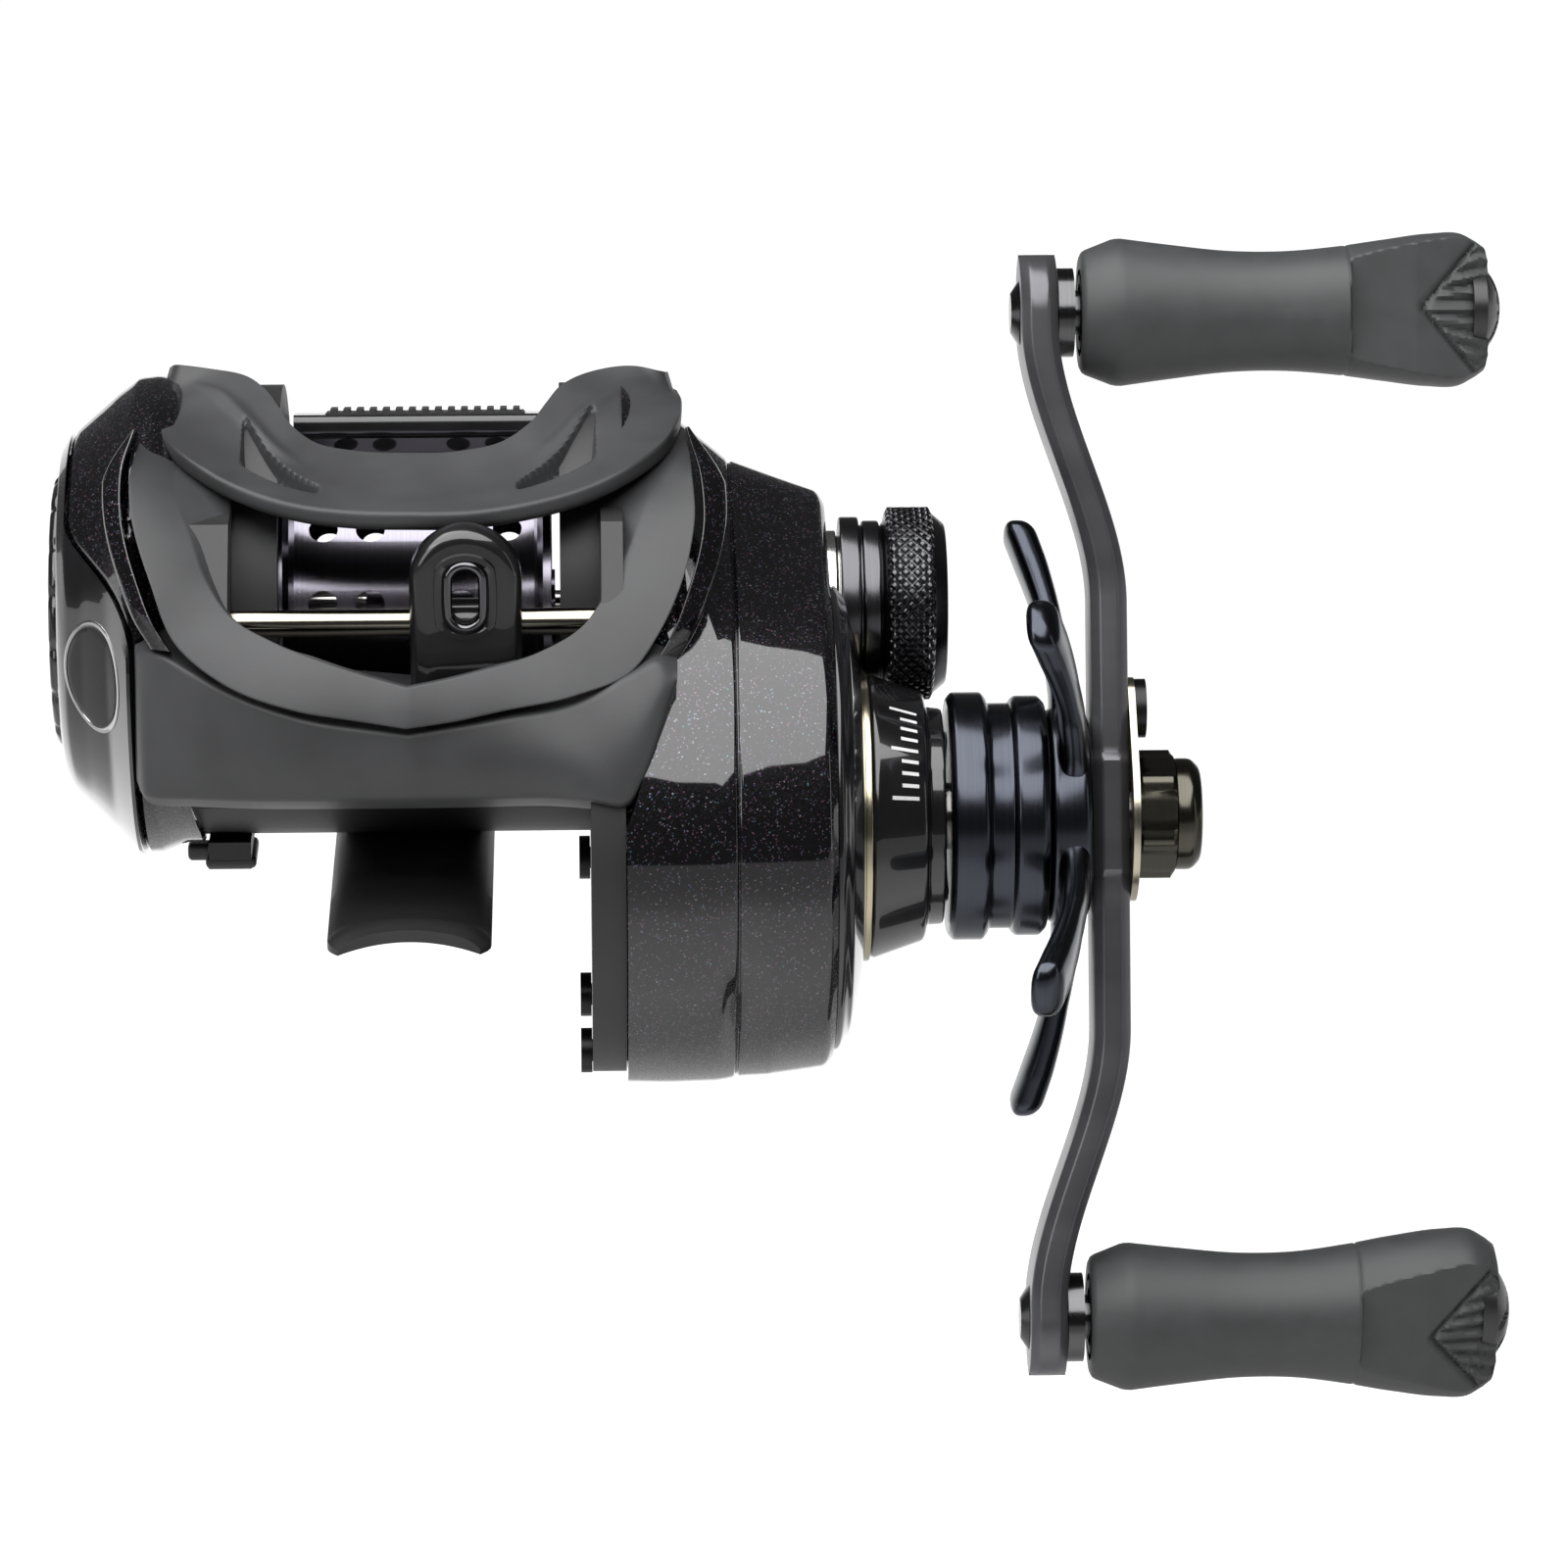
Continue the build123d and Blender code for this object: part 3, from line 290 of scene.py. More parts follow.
def rounded(corners, cuts, closed=True, steps=5):
    """Corners of a polygon, or of a stack of polygons, as quadratic arcs that begin a cut's length away."""
    p = np.asarray(corners, float)
    cuts = np.array(np.broadcast_to(cuts, p.shape[-2]), float)
    if not closed:
        cuts[[0, -1]] = 0.0
    back = np.roll(p, 1, axis=-2) - p
    ahead = np.roll(p, -1, axis=-2) - p
    back_length = np.linalg.norm(back, axis=-1, keepdims=True) + 1e-9
    ahead_length = np.linalg.norm(ahead, axis=-1, keepdims=True) + 1e-9
    before = p + back / back_length * np.minimum(cuts[:, None], 0.48 * back_length)
    after = p + ahead / ahead_length * np.minimum(cuts[:, None], 0.48 * ahead_length)
    t = np.linspace(0, 1, steps)[:, None]
    before, p, after = (points[..., None, :] for points in (before, p, after))
    arcs = (1 - t) ** 2 * before + 2 * t * (1 - t) * p + t**2 * after
    return arcs.reshape(*arcs.shape[:-3], -1, arcs.shape[-1])


def lidded(grid):
    """Closes the two ends of a tube of rows with a fan to each end row's middle."""
    fans = [np.broadcast_to(end.mean(axis=1, keepdims=True), end.shape) for end in (grid[:1], grid[-1:])]
    return np.concatenate([fans[0], grid, fans[1]])


def keeled(rail, count):
    """Smooth curve through the rail on each side of its lowest point, where the two meet in a keel."""
    keel = int(np.argmin([point[2] for point in rail]))
    left = curve(rail[: keel + 1], count // 2)
    right = curve(rail[keel:], count // 2)
    return np.concatenate([left, right[1:]])


CARRIAGE_SIDE = 14.5
CARRIAGE_CLEAR = -28.7


def bezel(count=220):
    """Bezel: for each station from horn to horn, a closed section with the nearly flat front band between
    the outer and inner edges, the funnel face back to the window's edge, and a hidden back.  The funnel
    is shallow where the carriage runs behind it."""
    outer = keeled(BEZEL_OUTER, count)
    inner = keeled(BEZEL_INNER, count)
    window = inner.copy()
    window[:, 0] = np.clip(inner[:, 0], WALL_LEFT, WALL_RIGHT)
    centre = (WALL_LEFT + WALL_RIGHT) / 2
    wall = held((np.abs(inner[:, 0] - centre) - CARRIAGE_SIDE) / 1.6)
    shallow = np.minimum(inner[:, 1] + 2.8, CARRIAGE_CLEAR)
    window[:, 1] = wall * (inner[:, 1] + 2.8) + (1 - wall) * shallow
    window[:, 2] = inner[:, 2] - 0.7
    rear = window + (0, 1.2, -0.9)
    crown = 0.5 * (outer + inner) + (0, -0.12, 0.10)
    hip = outer + (0, 1.1, 0.15)
    back = 0.35 * outer + 0.65 * rear + (0, 1.2, 0.2)
    section = np.stack([outer, crown, inner, window, rear, back, hip], axis=1)
    return lidded(ring(rounded(section, (0.28, 1.2, 0.22, 0.3, 0.3, 0.3, 0.2))))


PANEL_TOP = [
    (-23.7, -22.5, 26.6), (-23.2, -26.2, 26.5), (-20.6, -29.4, 26.9), (-18.6, -30.9, 26.2),
    (-15.3, -32, 24.6), (-9.3, -33.8, 22.8), (0.2, -35.1, 21.6), (8.3, -33.8, 22.6), (14.9, -32.8, 23.6),
    (19.4, -31.7, 25.6), (22, -31, 26.7), (23.6, -30.2, 26),
]
PANEL_BOTTOM = [
    (-23.7, -24.5, 14.2), (-22.6, -28.5, 14.1), (-18.6, -30.6, 14.5), (-14, -31.9, 14.7), (-7, -33.1, 15),
    (0, -33.8, 15.2), (7, -34.2, 15.4), (12.4, -35, 15.7), (16, -35.9, 15.7), (19.2, -36, 15.4),
    (20.6, -35.4, 17.6), (22.2, -33.6, 21.4), (23.5, -31.3, 24.7),
]


def panel(count=160):
    """Front panel: for each station from side to side, a closed section with a bulged front between the
    top and bottom edges, a rounded keel under it and a flat hidden back."""
    top = keeled(PANEL_TOP, count)
    low = curve(PANEL_BOTTOM, len(top))
    bulge = 0.45 * top + 0.55 * low + (0, -1.0, 0)
    under = low + (0, 5.5, -2.6)
    back = low * (1, 0, 1) + (0, -17.8, 1.0)
    roof = top * (1, 0, 1) + (0, -19.5, 0.6)
    section = np.stack([top, bulge, low, under, back, roof], axis=1)
    return lidded(ring(rounded(section, (0.6, 5.0, 0.8, 0.5, 0.3, 0.3))))


piece("nose_cover", [bezel(), panel()], cover_satin, "reel_frame", "front_cover", slot="cover_satin")


# ---- Hood ----
# The hood is the moulded bridge over the line window.  Its upper face dips forward to a rolled lip,
# and two slanted pockets sunk into it save weight and give the thumb its grip.

HOOD_REAR = [
    (-21.6, 6, 43.6), (-20.6, 3, 44.6), (-17.9, 2.4, 44.4), (-14.6, 0.6, 44.2), (-12.6, -2.4, 43.6),
    (-11.3, -5.4, 42.7), (-10.2, -7.4, 41.7), (-8.1, -8.9, 40.5), (-4.6, -9.6, 39.9), (0, -9.8, 39.7),
    (4.8, -9.6, 39.8), (8.3, -9, 40.4), (10.9, -7, 41.6), (12.4, -4, 42.7), (13.6, -1.5, 43.5),
    (16.4, 1.4, 44.1), (20.6, 2.8, 44.2), (22.6, 3, 43.7), (23.4, 6, 42.8),
]
HOOD_LIP = [
    (-22.6, 5.5, 41.6), (-22.7, 0, 42.3), (-22.5, -4.5, 42.3), (-21.8, -8.6, 42), (-20.4, -12.2, 41.2),
    (-18.2, -15.3, 40.4), (-15.8, -17.6, 39.6), (-12.3, -20, 38.8), (-8.9, -21.5, 38.3), (-4.4, -22.4, 38),
    (0.3, -22.6, 37.9), (5.8, -22.4, 37.9), (10.9, -21.5, 38.4), (16, -19.3, 39.2), (20.2, -16, 40.4),
    (22.8, -12, 41.3), (24, -7.5, 42), (24.4, -2, 42.2), (24.2, 5.5, 41.2),
]


def hood(count=460, bands=56):
    """Hood: rows run from horn to horn.  Each section is the upper face from the rear edge to the lip's
    rim, sagging a little between them, then the lip's front face, the underside and the rear face.
    Two pockets sink the upper face by a smooth mask of place along the row and across it."""
    rear = curve(HOOD_REAR, count)
    lip = curve(HOOD_LIP, count)
    v = np.linspace(0, 1, bands)[None, :, None]
    face = rear[:, None] * (1 - v) + lip[:, None] * v
    face[..., 2] -= 0.55 * np.sin(np.pi * v[..., 0])
    x = face[..., 0] - 1.1
    v = np.broadcast_to(v[..., 0], x.shape)
    reach = np.abs(x)
    along = held((reach - 8.6) / 0.7) * held((15.6 - reach) / 0.4)
    across = held((v - 0.30 - 0.035 * (15.6 - reach)) / 0.07) * held((0.70 - v) / 0.07)
    ridge = np.exp(-(((v - 0.3) / 0.06) ** 2))
    ridge = ridge * held((reach - 10.0) / 4) * held((20.5 - reach) / 3)
    sink = along * across
    face[..., 1] += 0.6 * sink
    face[..., 2] += 0.35 * ridge - 1.6 * sink
    outward = np.stack([lip[:, 0] * 0.012, -np.ones(count) * 0.75, np.zeros(count)], axis=1)
    outward[:, 1] *= np.clip(1.1 - np.abs(lip[:, 0] / 25) ** 3, 0.1, 1)
    rim = lip + outward * 0.5 + (0, 0, -0.25)
    low = lip + outward * 0.35 + (0, 0, -1.45)
    under = lip + (0, 2.5, -2.6) - outward
    deep = rear + (0, -0.4, -2.6)
    edge = rear + (0, 0.15, -0.35)
    closing = np.stack([lip, rim, low, under, deep, edge], axis=1)
    closing = rounded(closing, (0.0, 0.5, 0.5, 0.5, 0.5, 0.3), closed=False)
    section = np.concatenate([face, closing], axis=1)
    return lidded(ring(section))


piece("hood", [hood()], cover_satin, "reel_frame", slot="cover_satin")


# ---- Side strips ----
# Two slim painted strips run beside the bezel, from the hood down to the front panel.  They hide the
# seams between the nose cover and the two sides, and carry the sides' metallic lacquer.


def gloss_paint(name, colour, rough=0.16):
    """Gloss lacquer: nearly flat, with a slight ripple and polish marks."""
    paint = Finish(name, Coat_Weight=1.0, Coat_Roughness=0.04, Specular_IOR_Level=0.25)
    ripple = paint.noise(4.0, 2.0)
    paint.mottle(ripple, colour, 0.8, 1.2)
    paint.feed("Roughness", ripple * 0.08 + rough)
    paint.relief(ripple, 0.006)
    return paint.material


def flake_lacquer(name, base, flakes, amount, tint_size=26.0):
    """Metallic lacquer: cells a fifth of a millimetre across, a share of which are bright flakes of
    several tints that lie at slightly different angles, under a smooth clear coat."""
    paint = Finish(name, Coat_Weight=1.0, Coat_Roughness=0.045, Coat_IOR=1.6,
                   Specular_IOR_Level=0.1, Metallic=0.5)
    cells = {"feature": "F1", "voronoi_dimensions": "3D"}
    scatter = paint.node("ShaderNodeTexVoronoi", cells, {"Vector": paint.place, "Scale": 8200.0}, out="Color")
    parts = [paint.node("ShaderNodeSeparateColor", {}, {"Color": scatter}, out=i) for i in range(3)]
    shine = parts[0] > (1.0 - amount)
    tint = paint.ramp(parts[1], *flakes)
    cloud = paint.noise(tint_size, 2.0)
    under = paint.ramp(cloud, (0.35, base), (0.65, [1.35 * c for c in base]))
    mix = {"data_type": "RGBA"}
    colour = paint.node("ShaderNodeMix", mix, {0: shine * (parts[2] * 0.7 + 0.3), 6: under, 7: tint}, out=2)
    paint.feed("Base Color", colour)
    paint.feed("Roughness", 0.4 - shine * 0.1)
    normal = paint.node("ShaderNodeNewGeometry", {}, {}, out="Normal")
    lean = paint.node("ShaderNodeVectorMath", {"operation": "SUBTRACT"}, {0: scatter, 1: (0.5, 0.5, 0.5)})
    lean = paint.node("ShaderNodeVectorMath", {"operation": "SCALE"}, {0: lean, "Scale": 0.3})
    tilted = paint.node("ShaderNodeVectorMath", {"operation": "ADD"}, {0: normal, 1: lean})
    paint.feed("Normal", paint.node("ShaderNodeVectorMath", {"operation": "NORMALIZE"}, {0: tilted}))
    return paint.material


PURPLE_TO_TEAL = ((0.2, (0.12, 0.05, 0.09)), (0.45, (0.13, 0.11, 0.13)), (0.6, (0.16, 0.16, 0.17)),
                  (0.75, (0.04, 0.12, 0.14)), (0.9, (0.08, 0.06, 0.15)))
case_lacquer = flake_lacquer("case flake lacquer", (0.0016, 0.0013, 0.0018), PURPLE_TO_TEAL, 0.07)
gloss_black = gloss_paint("gloss black", (0.0055, 0.0055, 0.006))


def strip(rail, out, deep, count=120):
    """Strip beside the bezel: a closed section carried along a rail, flat-fronted and rounded, its outer
    edge a given distance to the side and its back a given distance behind, tapered at the top."""
    line = curve(rail, count)
    grow = held(np.linspace(0.15, 3.2, count))[:, None]
    side = np.array([out, 0.9 * abs(out), -0.25]) * grow
    section = np.stack([line, line + side, line + side * 1.15 + (0, deep, -deep * 0.3),
                        line + (0, deep, -deep * 0.3)], axis=1)
    return lidded(ring(rounded(section, (0.25, 0.5, 0.4, 0.2))))


STRIP_LEFT = [
    (-23.7, -13.5, 43), (-24.6, -18, 40.6), (-24.5, -22, 37.2), (-23, -26.4, 32.6), (-21.6, -28.6, 29.6),
    (-20.2, -29.8, 27.6),
]
STRIP_RIGHT = [
    (24.7, -12.5, 42.6), (25.9, -18, 39.3), (26, -21.6, 36.2), (24.6, -26, 31.4), (22.7, -28.9, 27.6),
    (21.2, -30, 25.6),
]
piece("side_strips", [strip(STRIP_LEFT, -1.7, 5.0), strip(STRIP_RIGHT, 2.1, 6.0)], case_lacquer,
      "reel_frame", slot="case_metallic")


# ---- Palm side ----
# The palm side plate is a dished cover in flake lacquer and gloss black.  It carries the left spool
# bearing, an oval badge and the brake dial, and comes off sideways when the latch below is slid.

PALM_X = [-20.2, -22.4, -24.2, -26.2, -28.6, -30.2, -31.2]
PALM_R = [20.35, 20.85, 20.65, 19.15, 17.05, 15.65, 14.05]
PALM_FRONT = [1.6, 3.2, 4.3, 1.9, 0.7, 0.2, 0.0]


def circle(steps):
    """Angles once round in even steps, the last one back at the first."""
    return np.linspace(0, 2 * np.pi, steps + 1)


def about(axis, x, radius, turn):
    """Points at stations along X, a radius away from an axis through (y, z), at angles that start at the
    top and go towards the rear."""
    x, radius, turn = np.broadcast_arrays(x, radius, turn)
    return np.stack([x, axis[0] + radius * np.sin(turn), axis[1] + radius * np.cos(turn)], axis=-1)


def turned(profile, axis, cut=0.25, steps=96):
    """Surface of revolution about an axis along X: a closed outline of (x, radius) corners, rounded by
    cut, carried round in steps."""
    outline = rounded(profile, cut)
    outline = np.concatenate([outline, outline[:1]])
    return about(axis, outline[:, :1], outline[:, 1:], circle(steps))


def on_palm(x, turn, height):
    """Points at a height over the palm plate's skin, at stations and at angles from the top towards the
    rear.  The skin is a round profile, drawn out towards the nose where the plate meets the panel."""
    order = -np.asarray(x, float)
    stations = -np.array(PALM_X)
    front = held(-np.sin(turn)) ** 1.6 * (1 - 0.35 * held(np.cos(turn)))
    radius = np.interp(order, stations, PALM_R) + front * np.interp(order, stations, PALM_FRONT)
    return about(spool_axis, x, radius + height, turn)


def palm_band(edge_in, edge_out, lift, steps=180, bands=26, wall=1.0):
    """Part of the palm plate's skin between two stations that may differ with the angle, lifted off the
    profile by lift, with rolled edges and an inner wall."""
    turn = circle(steps)[:, None]
    share = np.linspace(0, 1, bands)
    x = edge_in(turn) * (1 - share) + edge_out(turn) * share
    roll = lift * np.sqrt(held(1 - held(1 - np.minimum(share, 1 - share) / 0.05) ** 2))
    outside = on_palm(x, turn, roll)
    inside = on_palm(x, turn, -wall)
    return ring(np.concatenate([outside, inside[:, ::-1]], axis=1))


def frame_edge(turn):
    """Station of the plate's edge at the frame, which is drawn inwards underneath."""
    return -20.2 + 1.5 * held(-2 * np.cos(turn) - 0.6)


def gloss_edge(turn):
    """Station of the seam between lacquer and gloss: near the face over the top, sweeping inwards to the
    front panel below the bezel, and staying at the frame underneath."""
    forward = held(-np.sin(turn))
    height = np.cos(turn)
    level = held((0.72 - height * 0.9 - 0.22 * (1 - forward)) / 0.62)
    smooth = level * level * (3 - 2 * level)
    return -30.3 + 6.6 * smooth


piece("palm_shoulder", [palm_band(frame_edge, lambda turn: gloss_edge(turn) + 0.15, 0.35)], case_lacquer,
      "palm_plate", "palm_side_plate", slot="case_metallic")
face_rim = turned([(-31.2, 14.3), (-31.0, 13.2), (-29.7, 12.9), (-29.7, 5.0), (-27.0, 5.0), (-27.0, 13.0),
                   (-29.4, 13.9)], spool_axis, 0.3)
plate_skin = palm_band(gloss_edge, lambda turn: -31.15 + 0 * turn, 0.62)
hub = turned([(-29.6, 5.6), (-20.6, 5.6), (-20.6, 4.1), (-29.6, 4.1)], spool_axis, 0.2, 48)
spigot = turned([(-23.0, 17.2), (-18.4, 17.2), (-18.4, 15.9), (-23.0, 15.9)], spool_axis, 0.2)
web = turned([(-22.6, 17.3), (-21.8, 17.3), (-21.8, 5.5), (-22.6, 5.5)], spool_axis, 0.2)
piece("palm_gloss_plate", [plate_skin, face_rim, hub, spigot, web], gloss_black, "palm_plate",
      slot="gloss_black")

BADGE_TURN, BADGE_X = -1.585, -27.7
BADGE_HALF_TURN, BADGE_HALF_X = 0.245, 2.5


def badge_pad(lift=0.75, dome=0.2, rings=14, steps=64):
    """Badge: an oval laid on the palm plate's skin.  Rings of an ellipse in angle and station are raised
    by lift, with a domed top and a rounded rim that goes down into the skin."""
    share = np.concatenate([np.linspace(0, 1, rings), [1.0, 0.98]])[:, None]
    sweep = circle(steps)
    height = lift + dome * (1 - share**2) - lift * held((share - 0.9) / 0.1) ** 2
    height[-2:] = -0.8
    return on_palm(BADGE_X + BADGE_HALF_X * share * np.cos(sweep),
                   BADGE_TURN + BADGE_HALF_TURN * share * np.sin(sweep), height)


badge_black = satin_paint("badge satin black", (0.008, 0.008, 0.0085), 0.36)
piece("badge", [badge_pad()], badge_black, "palm_plate", "badge", slot="badge_black")
badge_silver = turned_metal("badge rim silver", (0.55, 0.55, 0.56), 0.25, axis=(9.0, 9.0, 9.0))


def badge_rim(steps=96, around=10, thick=0.13):
    """Rim round the badge: a small circle carried along the badge's outline on the palm plate's skin."""
    sweep = circle(steps)[:, None]
    roll = circle(around)
    wider = 1 + thick * np.cos(roll) / 2.6
    return on_palm(BADGE_X + (BADGE_HALF_X + 0.02) * wider * np.cos(sweep),
                   BADGE_TURN + (BADGE_HALF_TURN + 0.002) * wider * np.sin(sweep),
                   0.63 + thick * np.sin(roll))


piece("badge_rim", [badge_rim()], badge_silver, "palm_plate", slot="badge_black")


def brake_dial():
    """Brake dial: a dished disc with a raised rim and a finger bar across it.  The radius of the rim
    dips at sixteen places to make finger scallops."""
    outline = rounded([(-29.9, 12.3), (-31.5, 12.4), (-32.0, 11.9), (-32.0, 10.6), (-31.4, 9.9), (-31.3, 0.0),
                       (-27.9, 0.0), (-27.9, 4.4), (-29.9, 4.4)], 0.3)
    outline = np.concatenate([outline, outline[:1]])
    turn = circle(256)
    dip = 0.45 * held(np.cos(16 * turn)) ** 3
    radius = outline[:, 1:] - dip * (outline[:, 1:] > 11.4)
    return about(spool_axis, outline[:, :1], radius, turn)


def plastic(name, colour, rough=0.45):
    """Moulded plastic: soft sheen and a very fine spark-eroded texture."""
    resin = Finish(name)
    fleck = resin.noise(2.2, 3.0)
    resin.mottle(fleck, colour, 0.88, 1.1)
    resin.feed("Roughness", fleck * 0.1 + (rough - 0.05))
    resin.relief(resin.noise(0.3), 0.004)
    return resin.material


def bar(low, high, cut=0.5, steps=4):
    """Block between two corners with all its edges rounded: a rounded rectangle across Y and Z, drawn in
    along a quarter circle at both ends in X."""
    low, high = np.array(low, float), np.array(high, float)
    centre = (low + high) / 2
    half = (high - low) / 2
    cut = min(cut, *(0.95 * half))
    angle = np.linspace(0.0, np.pi / 2, steps + 1)
    shrink = np.concatenate([cut * (1 - np.sin(angle)), cut * (1 - np.sin(angle[::-1]))])
    x = np.concatenate([-half[0] + cut * (1 - np.cos(angle)), half[0] - cut * (1 - np.cos(angle[::-1]))])
    corners = np.array([(-1, -1), (1, -1), (1, 1), (-1, 1)])
    section = corners * (half[1:] - shrink[:, None, None])
    section = rounded(section, cut)
    grid = np.concatenate([np.broadcast_to(x[:, None, None], (*section.shape[:2], 1)), section], axis=-1)
    return lidded(ring(grid + centre))


dial_black = gloss_paint("dial gloss black", (0.007, 0.007, 0.0075), 0.24)
finger_bar = bar((-31.95, spool_y - 9.4, spool_z - 1.5), (-31.0, spool_y + 9.4, spool_z + 1.5))
piece("brake_dial", [brake_dial(), finger_bar], dial_black, "dial", "brake_dial", slot="gloss_black")
dial_ticks = []
for k in range(9):
    y, z = about(spool_axis, 0.0, 11.25, np.radians(200 + 20 * k))[1:]
    dial_ticks.append(bar((-31.98, y - 0.22, z - 0.22), (-31.7, y + 0.22, z + 0.22), 0.1))
tick_white = plastic("tick paint", (0.5, 0.5, 0.48), 0.5)
piece("dial_ticks", dial_ticks, tick_white, "dial", slot="gloss_black")
latch_black = plastic("latch black", (0.014, 0.014, 0.014), 0.4)
latch_tab = bar((-18.8, -8.5, 0.55), (-14.2, -2.5, 1.7), 0.4)
latch_tongue = bar((-20.6, -4.7, 0.05), (-17.4, -2.9, 1.6), 0.4)
latch_ribs = [bar((-18.6, -8.0 + 0.8 * k, 0.35), (-14.6, -7.6 + 0.8 * k, 0.8), 0.15) for k in range(4)]
piece("side_latch", [latch_tab, latch_tongue, *latch_ribs], latch_black, "latch", "side_latch",
      slot="gloss_black")


# ---- Gear case ----
# The gear-side cover is a deep tapering shell over the drive gear, drag discs and clutch, moulded in
# carbon-filled resin and sprayed with flake lacquer.  Three screws hold it to the frame plate.

CASE_STATIONS = [19.1, 22.5, 27.2, 28.5, 28.75, 29.0, 33.0, 36.7, 37.35]
CASE_SPOOL_R = [20.9, 18.2, 14.4, 13.3, 12.9, 13.1, 11.6, 10.3, 9.3]
CASE_DRIVE_R = [23.5, 23.6, 23.5, 23.4, 23.1, 23.3, 22.8, 22.3, 21.5]
CASE_REAR_R = [12.0, 11.0, 9.6, 9.3, 9.0, 9.2, 8.4, 7.6, 6.8]
BOSS_SEAT = 8.1


def case_outline(steps, inset):
    """Outlines of the gear case: at each station along X, the hull of three circles, on the spool axis,
    on the drive axis and behind them.  A point in a direction is the softened furthest of the circles
    that way, moved inwards by inset."""
    turn = circle(steps - 1)
    aim = np.stack([np.sin(turn), np.cos(turn)], axis=-1)
    outlines = []
    for x, spool_r, drive_r, rear_r in zip(CASE_STATIONS, CASE_SPOOL_R, CASE_DRIVE_R, CASE_REAR_R):
        lean = np.interp(x, [19, 37.5], [0.0, 1.0])
        centres = np.array([spool_axis, drive_axis, (12.0 - 4 * lean, 14.0 + 2.5 * lean)])
        radii = np.array([spool_r, drive_r, rear_r]) - inset
        reach = aim @ centres.T + radii
        weight = np.exp(2.2 * (reach - reach.max(axis=1, keepdims=True)))
        weight /= weight.sum(axis=1, keepdims=True)
        point = weight @ centres + (weight @ radii)[:, None] * aim
        outlines.append(np.concatenate([np.full((steps, 1), x), point], axis=1))
    return np.stack(outlines, axis=1), aim


def gear_case(steps=361, wall=1.3):
    """Gear case: rounded profile through the stations, carried round, with a narrow groove where two
    facets meet and a scoop that fades out of the groove at the lower front.  The outer face goes in to
    the drag boss's hole, and an inner wall follows the outside.  Behind the front panel the edge at the
    frame is cut back along a slope."""
    outline, aim = case_outline(steps, 0.0)
    profile = rounded(outline, (0, 1.0, 0.5, 0.15, 0.1, 0.15, 1.5, 0.45, 0.2), closed=False, steps=7)
    away = profile[..., 1:] - drive_axis
    low = np.exp(-(((away[..., 1] + 12.5) / 6.5) ** 2)) * (away[..., 0] < 0)
    scoop = low * np.exp(-(((profile[..., 0] - 28.9) / 1.3) ** 2)) * 1.5
    shrink = 1 - scoop / np.maximum(np.linalg.norm(away, axis=-1), 1.0)
    profile[..., 1:] = drive_axis + away * shrink[..., None]
    hole = drive_axis + BOSS_SEAT * aim
    face = np.concatenate([np.full((steps, 1), CASE_STATIONS[-1]), hole], axis=1)[:, None]
    inner = case_outline(steps, wall)[0][:, ::-1].copy()
    inner[:, 0, 0] -= wall
    lining = np.concatenate([face - (wall, 0, 0), inner], axis=1)
    shell = np.concatenate([profile, face, lining, profile[:, :1]], axis=1)
    front = (shell[..., 1] < -15) & (shell[..., 2] > 13.0) & (shell[..., 2] < 30.0)
    edge = 19.0 + 0.35 * np.clip(shell[..., 2] - 13.0, 0, 13)
    shell[..., 0] = np.where(front, np.maximum(shell[..., 0], edge), shell[..., 0])
    return shell


piece("gear_case", [gear_case()], case_lacquer, "reel_frame", "gear_case", slot="case_metallic")

DOME = [
    (37.2, 20.9), (37.9, 20.9), (38.5, 19.9), (38.9, 19.5), (39.9, 15.4), (40.15, 13.2), (40.15, 8.1),
    (37.2, 8.1),
]
piece("case_dome", [turned(DOME, drive_axis, 0.4, 144)], gloss_black, "reel_frame", "case_dome",
      slot="gloss_black")
screw_black = turned_metal("screw black", (0.03, 0.03, 0.03), 0.35, axis=(9.0, 9.0, 9.0))
coat(screw_black, "housing_screws")


# ---- Drag boss ----
# A gloss cone on the drive axis carries the one-way bearing.  A gold ring trims its foot, and plain
# tick marks are printed round its front.

gold = turned_metal("champagne gold", (0.42, 0.38, 0.27), 0.2)
GOLD_RING = [(40.1, 8.1), (40.1, 12.95), (40.75, 12.95), (40.75, 8.1)]
piece("boss_ring", [turned(GOLD_RING, drive_axis, 0.12, 128)], gold, "reel_frame", "boss_ring",
      slot="gold_trim")
BOSS = [
    (38.6, 5.35), (38.6, 8), (40.8, 8), (40.8, 12.55), (41.2, 12.7), (45.6, 11.2), (45.9, 10.6),
    (45.9, 9.8), (47.4, 9.7), (47.4, 5.35),
]
piece("drag_boss", [turned(BOSS, drive_axis, 0.3, 128)], gloss_black, "reel_frame", "drag_boss",
      slot="gloss_black")


def cone_tick(angle, x0, x1, half):
    """Tick on the cone: a thin raised pad between two stations, half an angle wide to each side."""
    turn = angle + half * np.linspace(-1, 1, 7)[:, None]
    lift = np.array([-0.2, 0.03, 0.03, -0.2])
    x = np.array([x0, x0, x1, x1])
    radius = 12.7 - (x - 41.2) * 1.5 / 4.4 + lift
    return lidded(ring(about(drive_axis, x, radius, turn)))


tick_silver = plastic("tick silver", (0.62, 0.62, 0.62), 0.35)
ticks = [cone_tick(np.radians(-64 + 5.5 * k), 43.4 - 0.9 * (k % 4 == 0), 44.9, 0.014) for k in range(9)]
piece("boss_ticks", ticks, tick_silver, "reel_frame", slot="gloss_black")


# ---- Spool ----
# The spool is turned from aluminium and anodised a pale lilac silver, with thin flanges and a drilled
# arbor.  It runs on a steel shaft in three bearings.

